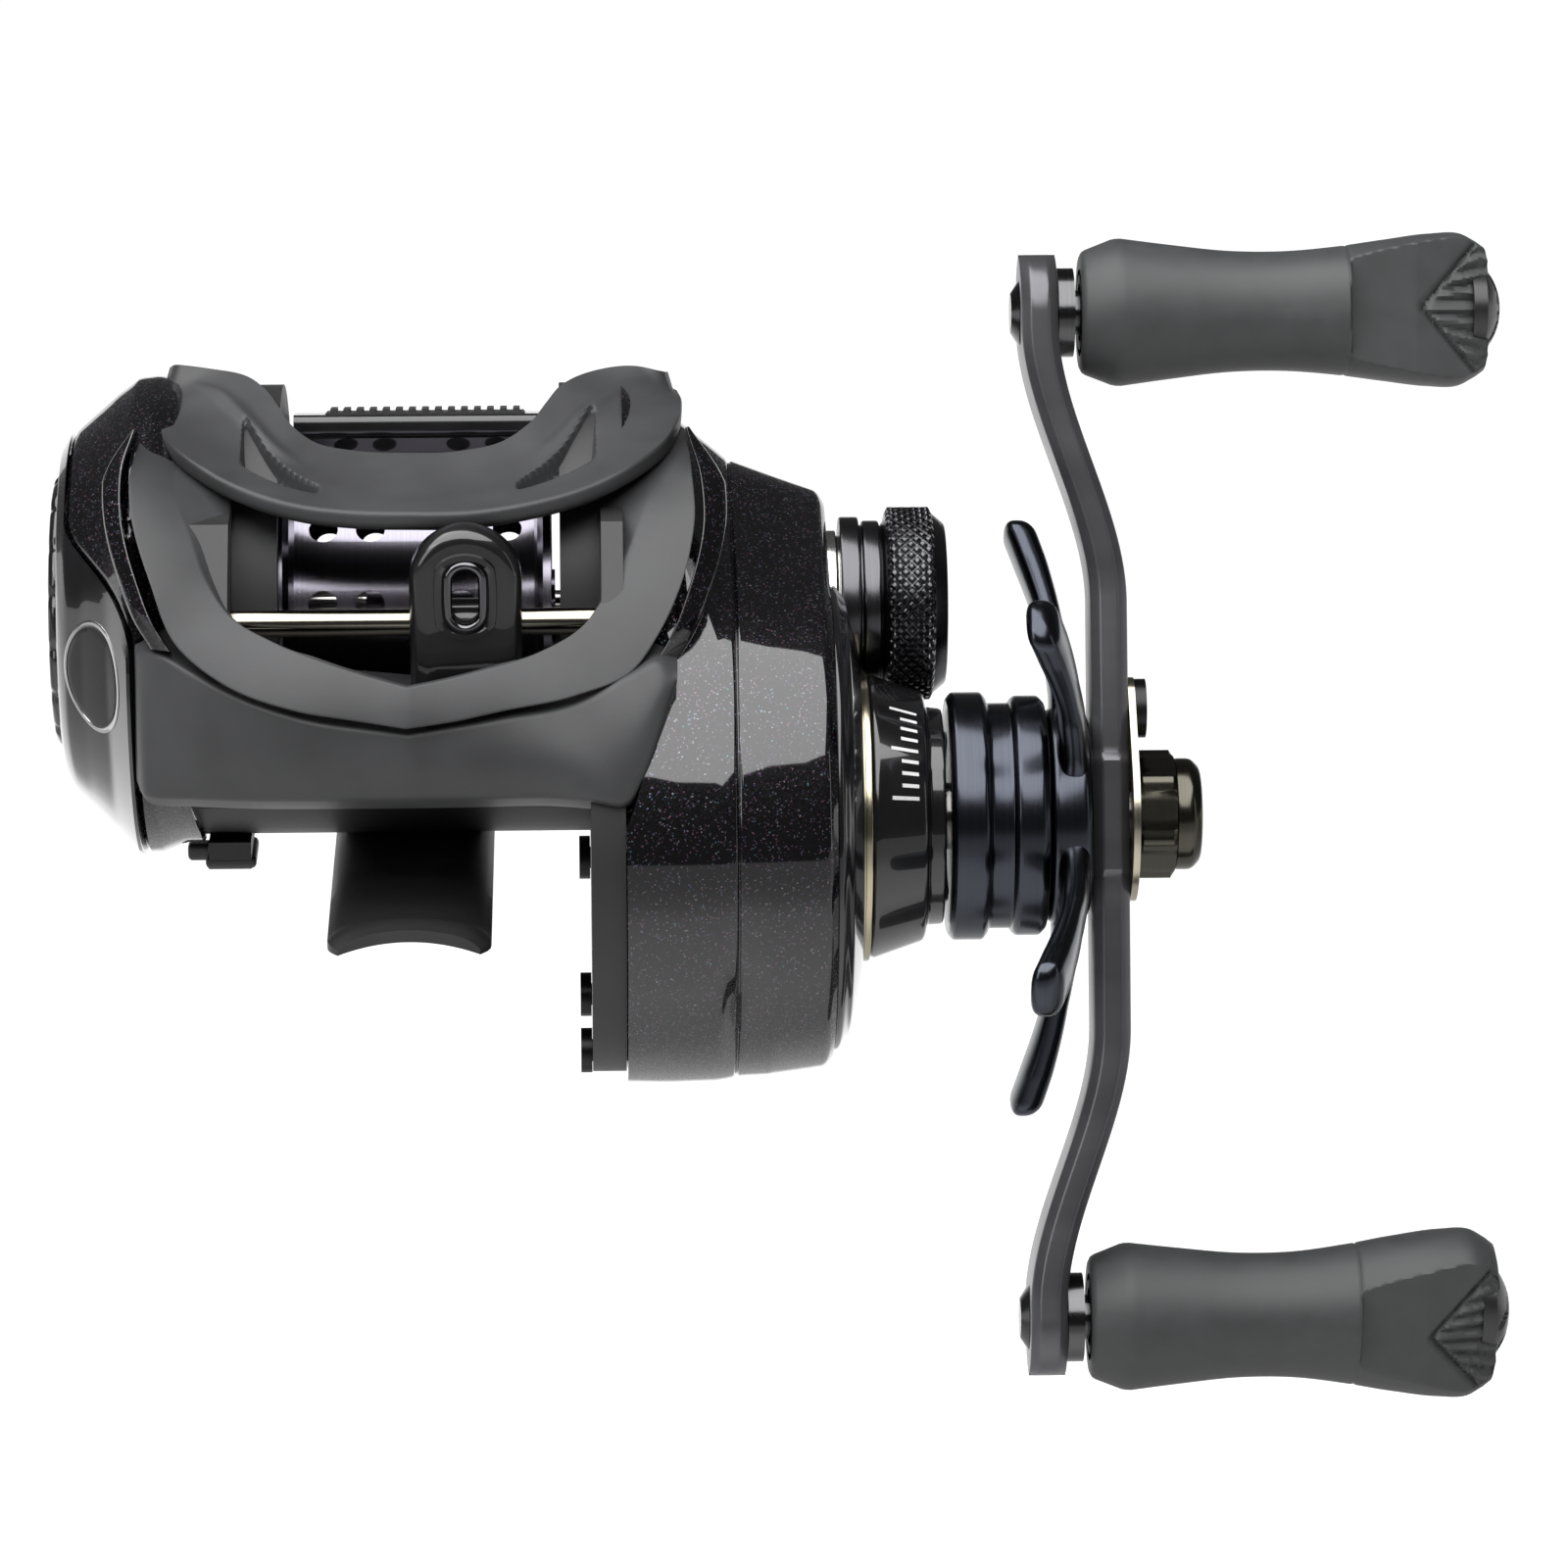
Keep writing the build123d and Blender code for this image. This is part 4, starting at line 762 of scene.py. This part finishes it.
spool_silver = turned_metal("spool silver", (0.21, 0.2, 0.235), 0.2)
coat(spool_silver, "spool")
bearing_steel = turned_metal("bearing steel", (0.55, 0.55, 0.56), 0.25)
shaft_steel = turned_metal("shaft steel", (0.6, 0.59, 0.56), 0.16)
coat(shaft_steel, "spool_shaft", "spool_pin", "drive_shaft", "one_way_sleeve", "cap_shim", "pressure_plate",
     "level_pawl", "yoke_pins")
coat(bearing_steel, "spool_bearing_left", "spool_bearing_right", "pinion_bearing", "drive_shaft_bearing",
     "one_way_bearing", "knob_bearings_upper", "knob_bearings_lower", "spring_washers", "drag_nut")
magnet = turned_metal("magnet nickel", (0.35, 0.35, 0.36), 0.3)
coat(magnet, "brake_magnets")


# ---- Gears and clutch ----
# A brass drive gear turns a brass pinion on the spool axis.  The level wind is driven by three small
# acetal gears, and an acetal yoke slides the pinion off the spool when the thumb bar is pressed.

brass = turned_metal("gear brass", (0.56, 0.39, 0.15), 0.28)
coat(brass, "drive_gear", "pinion_gear")
acetal = plastic("acetal", (0.45, 0.44, 0.41), 0.4)
coat(acetal, "train_drive_gear", "idler_gear", "worm_gear", "worm_bushings", "clutch_yoke")
carbon = plastic("carbon disc", (0.02, 0.02, 0.021), 0.5)
coat(carbon, "drag_washers")


# ---- Level wind ----
# A worm with crossed threads drives a carriage along a polished rod.  The carriage's arched plate
# holds a hard oval ring that lays the line on the spool.

rod_steel = turned_metal("polished rod", (0.3, 0.28, 0.23), 0.12)
coat(rod_steel, "guide_rod")
worm_axis = middle("worm_shaft")


def worm(steps=96, rows=640):
    """Worm: a rod whose radius dips along two helices of opposite hand, each a smooth notch."""
    low, high = box("worm_shaft")
    x = np.linspace(WALL_LEFT + 0.4, WALL_RIGHT - 0.4, rows)[:, None]
    turn = circle(steps)
    notch = 0.0
    for hand in (1, -1):
        phase = (x / 4.3 + hand * turn / (2 * np.pi)) % 1.0
        notch = np.maximum(notch, held(1 - np.abs(phase - 0.5) / 0.16))
    radius = 2.15 - 0.75 * np.sqrt(notch)
    ends = turned([(low[0], 0), (low[0], 1.5), (high[0], 1.5), (high[0], 0)], worm_axis, 0.2, 32)
    return [lidded(about(worm_axis, x, radius, turn)), ends]


piece("worm_shaft", worm(), shaft_steel, "worm", "worm_shaft", slot="shaft_steel", sharp=60)

guide_gloss = gloss_paint("carriage gloss", (0.006, 0.006, 0.0065), 0.3)
guide_low, guide_high = box("line_guide")
guide_half = (guide_high[0] - guide_low[0]) / 2
eye_x, _, eye_z = sum(box("guide_eye")) / 2


def arch(steps=160):
    """Carriage plate: the outline is a half round over straight sides.  It is carried through the
    plate's thickness, drawn in at the rim along a soft quarter circle, and closed in towards the oval
    hole, where the front rises to a low collar."""
    turn = circle(steps)
    aim = np.stack([np.sin(turn), np.cos(turn)], axis=-1)
    across, up = aim[:, :1], aim[:, 1:]
    side = guide_half / np.maximum(np.abs(across), 1e-6)
    low = (eye_z - guide_low[2] - 4.6) / np.maximum(-up, 1e-6)
    reach = np.where(up > 0, guide_half, np.minimum(side, np.where(up < 0, low, 99.0)))
    rim = aim * reach + (0, 1.0) * (up > 0)
    stretch = 1.25 * np.sign(up) * held(np.abs(up) * 3)
    hole = 1.35 * aim + (0, 1.0) * stretch
    collar = hole * (2.05, 1.5)
    front = -26.7
    stack = [(rim, -24.1), (rim, -25.2), (rim * 0.985, -25.9), (rim * 0.93, -26.45), (rim * 0.85, front),
             (rim * 0.35 + collar * 0.65, front - 0.02), (collar, front - 0.1), (collar * 0.97, front - 0.45),
             (collar * 0.86, front - 0.5), (hole * 1.12, front - 0.05), (hole, front + 0.3), (hole, -24.1)]
    rows = [np.insert(flat + (eye_x, eye_z), 1, depth, axis=1) for flat, depth in stack]
    return np.stack([*rows, rows[0]])


def sleeve(bore, radius, axis, cut):
    """Sleeve of the carriage, as long as the carriage is wide."""
    ends = guide_low[0], guide_high[0]
    profile = [(ends[0], bore), (ends[0], radius), (ends[1], radius), (ends[1], bore)]
    return turned(profile, axis, cut, 64)


barrel = sleeve(2.27, 3.4, worm_axis, 0.3)
slide = sleeve(1.26, 2.1, middle("guide_rod"), 0.2)
spine = bar((guide_low[0] + 1.2, -25.4, 19.9), (guide_high[0] - 1.2, -23.3, 27.8), 0.4)
piece("line_guide", [arch(), barrel, slide, spine], guide_gloss, "carriage", "line_guide", slot="guide_gloss")
eye_chrome = turned_metal("ring insert", (0.11, 0.11, 0.115), 0.14, axis=(9.0, 9.0, 9.0))


def eye_ring(steps=120, around=20):
    """Ring insert: a small circle carried round the oval hole."""
    turn = circle(steps)[:, None]
    roll = circle(around)
    grid = about((0.0, eye_z), eye_x, 1.55 + 0.42 * np.cos(roll), turn)
    straight = 1.3 * np.clip(np.cos(turn) * 4, -1, 1)
    y = -27.0 + 0.42 * np.sin(roll) * np.ones_like(turn)
    return np.stack([eye_x + grid[..., 1], y, grid[..., 2] + straight], axis=-1)


piece("guide_eye", [eye_ring()], eye_chrome, "carriage", "guide_eye", slot="eye_chrome")


# ---- Thumb bar ----
# The clutch release is a broad bar behind the spool.  A ribbed rubber pad is set into its top.

bar_gloss = gloss_paint("thumb bar gloss", (0.007, 0.007, 0.0075), 0.28)
coat(bar_gloss, "thumb_bar")
piece("thumb_apron", [bar((-10.6, 15.2, 30.4), (11.8, 16.5, 36.0), 0.5)], bar_gloss, "thumb_release",
      slot="gloss_black")
pad_rubber = plastic("pad rubber", (0.022, 0.022, 0.023), 0.62)
coat(pad_rubber, "thumb_pad")


# ---- Cast control ----
# A silver collar threads into the gear case round the end of the spool shaft.  The cap on it presses
# on the shaft: two plain rings and a wheel with diamond knurling.

boss_silver = turned_metal("collar silver", (0.78, 0.77, 0.74), 0.18)
COLLAR = [
    (33.2, 2.2), (33.2, 5.4), (36.9, 5.4), (36.9, 6.7), (38.4, 6.7), (38.4, 6.2), (43.4, 6.2),
    (43.4, 4.05), (34.6, 4.05), (34.6, 2.2),
]
piece("cap_boss", [turned(COLLAR, spool_axis, 0.15)], boss_silver, "reel_frame", "cap_boss",
      slot="boss_silver")
cap_black = turned_metal("cap anodised black", (0.085, 0.085, 0.09), 0.24)
CAP = [
    (38.7, 6.25), (38.7, 7.9), (40.45, 7.9), (40.5, 7.15), (40.75, 7.15), (40.8, 7.55), (42.3, 7.55),
    (42.4, 7), (43.2, 8.3), (47, 8.3), (48.3, 7.2), (48.3, 0), (44.2, 0), (44.2, 6.25),
]
KNURL_START, KNURL_END = 42.85, 47.15


def knurl(count=46, rows=41, per=10):
    """Knurled band: a cylinder whose radius falls along two sets of crossed helical grooves, so that a
    diamond stands between them."""
    x = np.linspace(KNURL_START, KNURL_END, rows)[:, None]
    turn = circle(count * per)
    groove = 0.0
    for hand in (1, -1):
        wave = np.abs(((count * turn / (2 * np.pi) + hand * (x - 45) / 1.05) % 1.0) - 0.5) * 2
        groove = np.maximum(groove, held(1 - (1 - wave) / 0.5))
    fade = held(np.minimum(x - KNURL_START, KNURL_END - x) / 0.3)
    radius = 8.35 + (0.4 - 0.36 * groove) * fade - 0.2 * (1 - fade)
    grid = about(spool_axis, x, radius, turn)
    inner = grid[[-1, 0]].copy()
    inner[..., 1:] = spool_axis + (inner[..., 1:] - spool_axis) * 0.9
    return np.concatenate([grid, inner, grid[:1]])


piece("cast_cap", [turned(CAP, spool_axis, 0.22), knurl()], cap_black, "cast_control", "cast_cap",
      slot="cap_black", sharp=24)


# ---- Star drag ----
# The star is a machined aluminium wheel with five swept prongs, anodised blue-black.  Its stepped
# sleeve covers the spring washers and the drag nut.

star_metal = turned_metal("blue-black anodised", (0.050, 0.054, 0.066), 0.22)
HUB = [
    (47.8, 7.6), (47.8, 10.5), (48.3, 11.1), (50.9, 11.1), (51.35, 10.6), (51.45, 10.1), (53.4, 10.1),
    (53.5, 10.4), (53.9, 10.75), (56, 10.75), (56.6, 10.1), (56.6, 3.1), (52.6, 3.1), (52.6, 7.6),
]
piece("star_hub", [turned(HUB, drive_axis, 0.22, 128)], star_metal, "star_drag", "star_hub",
      slot="star_blue_black")


def fuller(wave, power):
    """A sine or cosine drawn out towards its peaks, which makes a circle of two of them squarer."""
    return np.sign(wave) * np.abs(wave) ** power


def spun(x, side, reach, angle):
    """Points at stations along X, on a line from the drive axis at an angle from the top towards the
    rear: reach is measured along that line and side across it."""
    y = drive_y + reach * np.sin(angle) + side * np.cos(angle)
    z = drive_z + reach * np.cos(angle) - side * np.sin(angle)
    return np.stack([x, y, z], axis=-1)


def prong(angle, rows=48):
    """Star prong: a flattened oval section carried out from the hub.  Its path bends towards the reel,
    it is slim near the hub, widest at two thirds and ends in a round tip."""
    s = 1 - (1 - np.linspace(0, 1, rows)) ** 1.6
    reach = 7.0 + 21.2 * s
    x = 58.7 - 3.9 * s**1.5 + 0.5 * np.sin(np.pi * s)
    tip = np.sqrt(held(1 - held((s - 0.92) / 0.08) ** 2))
    wide = np.interp(s, [0, 0.15, 0.4, 0.8, 1.0], [3.4, 2.6, 2.2, 2.8, 2.8]) * tip
    thick = np.interp(s, [0, 0.2, 0.5, 0.8, 1.0], [1.7, 1.3, 1.15, 1.45, 1.5]) * tip
    roll = circle(32)
    side = wide[:, None] * fuller(np.cos(roll), 0.7)
    depth = x[:, None] + thick[:, None] * fuller(np.sin(roll), 0.7)
    return lidded(spun(depth, side, reach[:, None], angle))


WHEEL = [(56.7, 3.1), (56.7, 9.3), (57.2, 9.7), (59.9, 9.5), (60.5, 8.8), (60.5, 3.1)]
prongs = [prong(np.radians(72 * k - 34)) for k in range(5)]
piece("star_wheel", [turned(WHEEL, drive_axis, 0.4), *prongs], star_metal, "star_drag", "star_wheel",
      slot="star_blue_black")


# ---- Handle arm ----
# The double handle is a bevelled aluminium bar, anodised black and dropped towards the reel at both ends.
# A smoked-bronze nut and a small keeper plate hold it on the drive shaft.

ARM_LEAN = np.radians(18.0)
ARM_REACH = 45.0
ARM_END = 5.2
ARM_X = 62.35
ARM_DROP = 5.95
ARM_THICK = 3.3


def handle_arm(rows=261):
    """Arm: a bevelled rectangle carried along the arm.  Its half width is the hub's circle in the middle,
    tapers to a waist, widens to the ends and closes in a half circle.  The line it follows stays level
    at the hub and drops along a smooth S to each end."""
    quarter = np.linspace(0, np.pi / 2, 24)
    s = np.concatenate([ARM_END * (1 - np.cos(quarter[:-1])) - ARM_REACH - ARM_END,
                        np.linspace(-ARM_REACH, ARM_REACH, rows), ARM_REACH + ARM_END * np.sin(quarter[1:])])
    away = np.abs(s)
    t = held((away - 19) / 25)
    x = ARM_X - ARM_DROP * t * t * (3 - 2 * t)
    taper = np.interp(away, [0, 9, 20, 40, ARM_REACH], [4.6, 4.5, 4.3, 4.9, ARM_END])
    hub = np.sqrt(np.clip(7.2**2 - s**2, 0, None))
    end = np.sqrt(np.clip(ARM_END**2 - np.clip(away - ARM_REACH, 0, None) ** 2, 0.0, None))
    width = np.minimum(np.maximum(taper, hub), end)
    half = ARM_THICK / 2
    step = half - 0.85
    bevel = np.minimum(1.0, 0.9 * width)
    corners = [(half, width - bevel), (step, width), (-step, width), (-half, width - bevel),
               (-half, bevel - width), (-step, -width), (step, -width), (half, bevel - width)]
    section = np.stack([np.stack([x + depth, side], axis=-1) for depth, side in corners], axis=1)
    section = rounded(section, 0.22, steps=4)
    return lidded(ring(spun(section[..., 0], section[..., 1], s[:, None], ARM_LEAN)))


arm_black = turned_metal("arm anodised black", (0.095, 0.095, 0.103), 0.3, 0.6, (40.0, 40.0, 4.0))
piece("handle_arm", [handle_arm()], arm_black, "handle", "handle_arm", slot="arm_black", sharp=30)
keeper_gold = turned_metal("keeper pale gold", (0.42, 0.39, 0.31), 0.24)
coat(keeper_gold, "nut_retainer")
coat(screw_black, "retainer_screw")
nut_bronze = turned_metal("nut smoked bronze", (0.07, 0.066, 0.053), 0.2)
NUT_TURN = np.radians(38.0)


def handle_nut():
    """Handle nut: a hexagon with rounded corners whose two faces are chamfered by a cone, and a domed
    round cap in front of it."""
    turn = circle(180)
    flat = 5.1 / np.cos((turn + NUT_TURN) % (np.pi / 3) - np.pi / 6)
    x = np.array([64.8, 65.15, 67.85, 68.2])[:, None]
    cone = np.array([5.2, 5.75, 5.75, 5.2])[:, None]
    cap = turned([(68.1, 0), (68.1, 5.0), (69.7, 5.0), (70.55, 4.2), (70.6, 0)], drive_axis, 0.4, 64)
    return [lidded(about(drive_axis, x, np.minimum(flat, cone), turn)), cap]


piece("handle_nut", handle_nut(), nut_bronze, "handle", "handle_nut", slot="nut_smoke", sharp=25)
post_black = turned_metal("post black chrome", (0.09, 0.09, 0.092), 0.18)
coat(post_black, "knob_posts")


# ---- Knobs ----
# The knobs are soft-touch rubber over a hard core, waisted for the fingers and flattened to a petal at
# the end, with a ribbed hard cap let into the tip.

knob_rubber = plastic("soft-touch rubber", (0.034, 0.035, 0.036), 0.55)
knob_end = plastic("knob end black", (0.012, 0.012, 0.013), 0.34)
KNOB_X = [63.9, 68.0, 74.0, 78.5, 83.0, 87.5, 91.5, 94.2, 95.6]
KNOB_SLIM = [6.6, 6.05, 5.4, 5.35, 5.7, 6.3, 6.8, 6.8, 6.1]
KNOB_BROAD = [6.6, 6.15, 5.7, 5.9, 6.8, 7.8, 8.3, 8.2, 7.4]
KNOB_TWIST = {"upper": 72.0, "lower": 40.0}
KNOB_FLAT = {"upper": 16.0, "lower": -6.0}


def on_knob(side, x, across, along):
    """Points about a knob's axis, one arm's reach up or down the leaning arm."""
    way = 1 if side == "upper" else -1
    y = drive_y + way * ARM_REACH * np.sin(ARM_LEAN)
    z = drive_z + way * ARM_REACH * np.cos(ARM_LEAN)
    return np.stack([np.broadcast_to(x, across.shape), y + across, z + along], axis=-1)


def twisted(side, across, along):
    """Y and Z of points of a knob's oval section, turned by the knob's own twist."""
    twist = np.radians(KNOB_TWIST[side])
    return across * np.cos(twist) - along * np.sin(twist), across * np.sin(twist) + along * np.cos(twist)


def knob_grip(side, rows=170, steps=168):
    """Grip: rounded-oval sections along X, slim one way and broad the other, each knob turned by its own
    twist.  Past the seam a flat is cut on the front, which leans in towards the tip.  The flat carries a
    chevron groove, and ribs run from the chevron to the tip."""
    line = curve(np.stack([KNOB_X, KNOB_SLIM, KNOB_BROAD], axis=1), rows)
    foot = [(60.2, 5, 5), (60.4, 5.4, 5.4), (60.7, 5.6, 5.6), (63, 6.5, 6.5), (63.4, 6.58, 6.58)]
    line = np.concatenate([foot, line, [(96.3, 5.6, 6.8), (96.5, 4.8, 6)]])
    x, slim, broad = (line[:, k : k + 1] for k in range(3))
    turn = circle(steps)
    power = 1.0 - 0.16 * held((x - 64) / 22)
    shrink = 1 - np.exp(-(((x - 84.0) / 0.14) ** 2)) * 0.018
    across = fuller(np.cos(turn), power) * slim
    along = fuller(np.sin(turn), power) * broad
    y, z = [way * shrink for way in twisted(side, across, along)]
    lean = np.radians(KNOB_FLAT[side])
    out = -y * np.cos(lean) + z * np.sin(lean)
    side_way = y * np.sin(lean) + z * np.cos(lean)
    level = np.interp(x, [83.9, 84.1, 90.0, 95.0, 97.0], [9.0, 5.15, 4.9, 4.1, 3.4])
    sweep = x - 90.4 - 0.85 * np.abs(side_way)
    ribs = 0.24 * np.cos(2 * np.pi * side_way / (0.75 + 0.09 * (x - 88))) * (sweep > 0.45)
    level = level + np.where(x > 88, ribs - 0.45 * np.exp(-((sweep / 0.28) ** 2)), 0.0)
    cut = np.clip(out - level, 0, None)
    return lidded(on_knob(side, x, y + cut * np.cos(lean), z - cut * np.sin(lean)))


def knob_tip(side, rows=14, steps=96):
    """End cap: an oval that domes out to the tip, with shallow steps cut across it."""
    share = np.sin(np.linspace(0.0, np.pi / 2, rows))[:, None]
    turn = circle(steps)
    across = 4.0 * share * np.cos(turn)
    along = 5.4 * share * np.sin(turn)
    x = 96.3 + 1.6 * (1 - share**2.5) - 0.35 * (np.abs(np.sin(along * 1.15)) < 0.35) * (share < 0.92)
    dome = on_knob(side, x, *twisted(side, across, along))
    base = dome[-1:] - (1.2, 0, 0)
    return lidded(np.concatenate([dome, base]))


for side in ("upper", "lower"):
    body = side + "_knob"
    piece("knob_grip_" + side, [knob_grip(side)], knob_rubber, body, "knob_grip_" + side, slot="knob_rubber")
    piece("knob_cap_" + side, [knob_tip(side)], knob_end, body, "knob_cap_" + side, slot="knob_end")


# ---- Studio ----
# A pale floor well below the reel, which glows brighter ahead of the reel and brightest behind it, a
# broad softbox overhead, two side fills, and a camera in front of the reel, looking down at it.

FLOOR_LEVEL = -350.0
FLOOR_RINGS = (0.0, 200.0, 900.0, 12000.0)
FLOOR_GLOW = ((0.1, 0.5), (0.22, 0.7), (0.42, 0.7), (0.5, 0.2), (0.66, 0.2), (0.715, 0.99))

floor_white = Finish("floor", Roughness=0.9, Emission_Strength=1.0)
cloud = floor_white.noise(300.0)
floor_white.feed("Base Color", floor_white.ramp(cloud, (0.3, [0.43] * 3), (0.7, [0.45] * 3)))
depth = floor_white.node("ShaderNodeSeparateXYZ", {}, {"Vector": floor_white.place}, out=1)
glow = floor_white.ramp(depth * 0.4 + 0.5, *[(at, [level] * 3) for at, level in FLOOR_GLOW])
floor_white.feed("Emission Color", glow)
turn = -circle(96)
disc = np.array([np.stack([r * np.cos(turn), r * np.sin(turn), np.full(97, FLOOR_LEVEL)], axis=-1)
                 for r in FLOOR_RINGS])
mesh = cell_mesh("floor", [disc])
mesh.materials.append(floor_white.material)
floor = bpy.data.objects.new("floor", mesh)
bpy.context.scene.collection.objects.link(floor)


def aim_at(place, target):
    """Angles that turn a lamp or camera, which looks down its own -Z, from place to target."""
    way = np.array(target, float) - np.array(place, float)
    way /= np.linalg.norm(way)
    return (np.arccos(-way[2]), 0.0, np.arctan2(-way[0], way[1]))


def softbox(name, place, target, width, height, power):
    """Area light at a place, aimed at a target, both in metres."""
    light = bpy.data.lights.new(name, "AREA")
    light.shape = "RECTANGLE"
    light.size = width
    light.size_y = height
    light.energy = power
    lamp = bpy.data.objects.new(name, light)
    lamp.location = place
    lamp.rotation_euler = aim_at(place, target)
    bpy.context.scene.collection.objects.link(lamp)


softbox("softbox_top", (-0.12, -0.18, 0.62), (-0.04, -0.05, 0.0), 1.15, 0.85, 14.5)
softbox("softbox_left", (-0.62, -0.42, 0.36), (0.0, 0.0, 0.02), 0.34, 0.5, 1.6)
softbox("strip_right", (0.75, -0.3, 0.2), (0.05, 0.0, 0.02), 0.1, 0.5, 0.25)

world = bpy.data.worlds.new("studio")
world.use_nodes = True
sky = world.node_tree.nodes["Background"].inputs
sky["Color"].default_value = (0.2, 0.2, 0.205, 1.0)
sky["Strength"].default_value = 0.35
bpy.context.scene.world = world
bpy.context.scene.view_settings.view_transform = "Standard"

camera_place = (0.01493, -0.59874, 0.20001)
camera = bpy.data.objects.new("camera", bpy.data.cameras.new("camera"))
camera.data.lens = 158.0
camera.data.clip_start = 0.05
camera.location = camera_place
camera.rotation_euler = aim_at(camera_place, (0.03333, -0.01317, 0.00965))
bpy.context.scene.collection.objects.link(camera)
bpy.context.scene.camera = camera
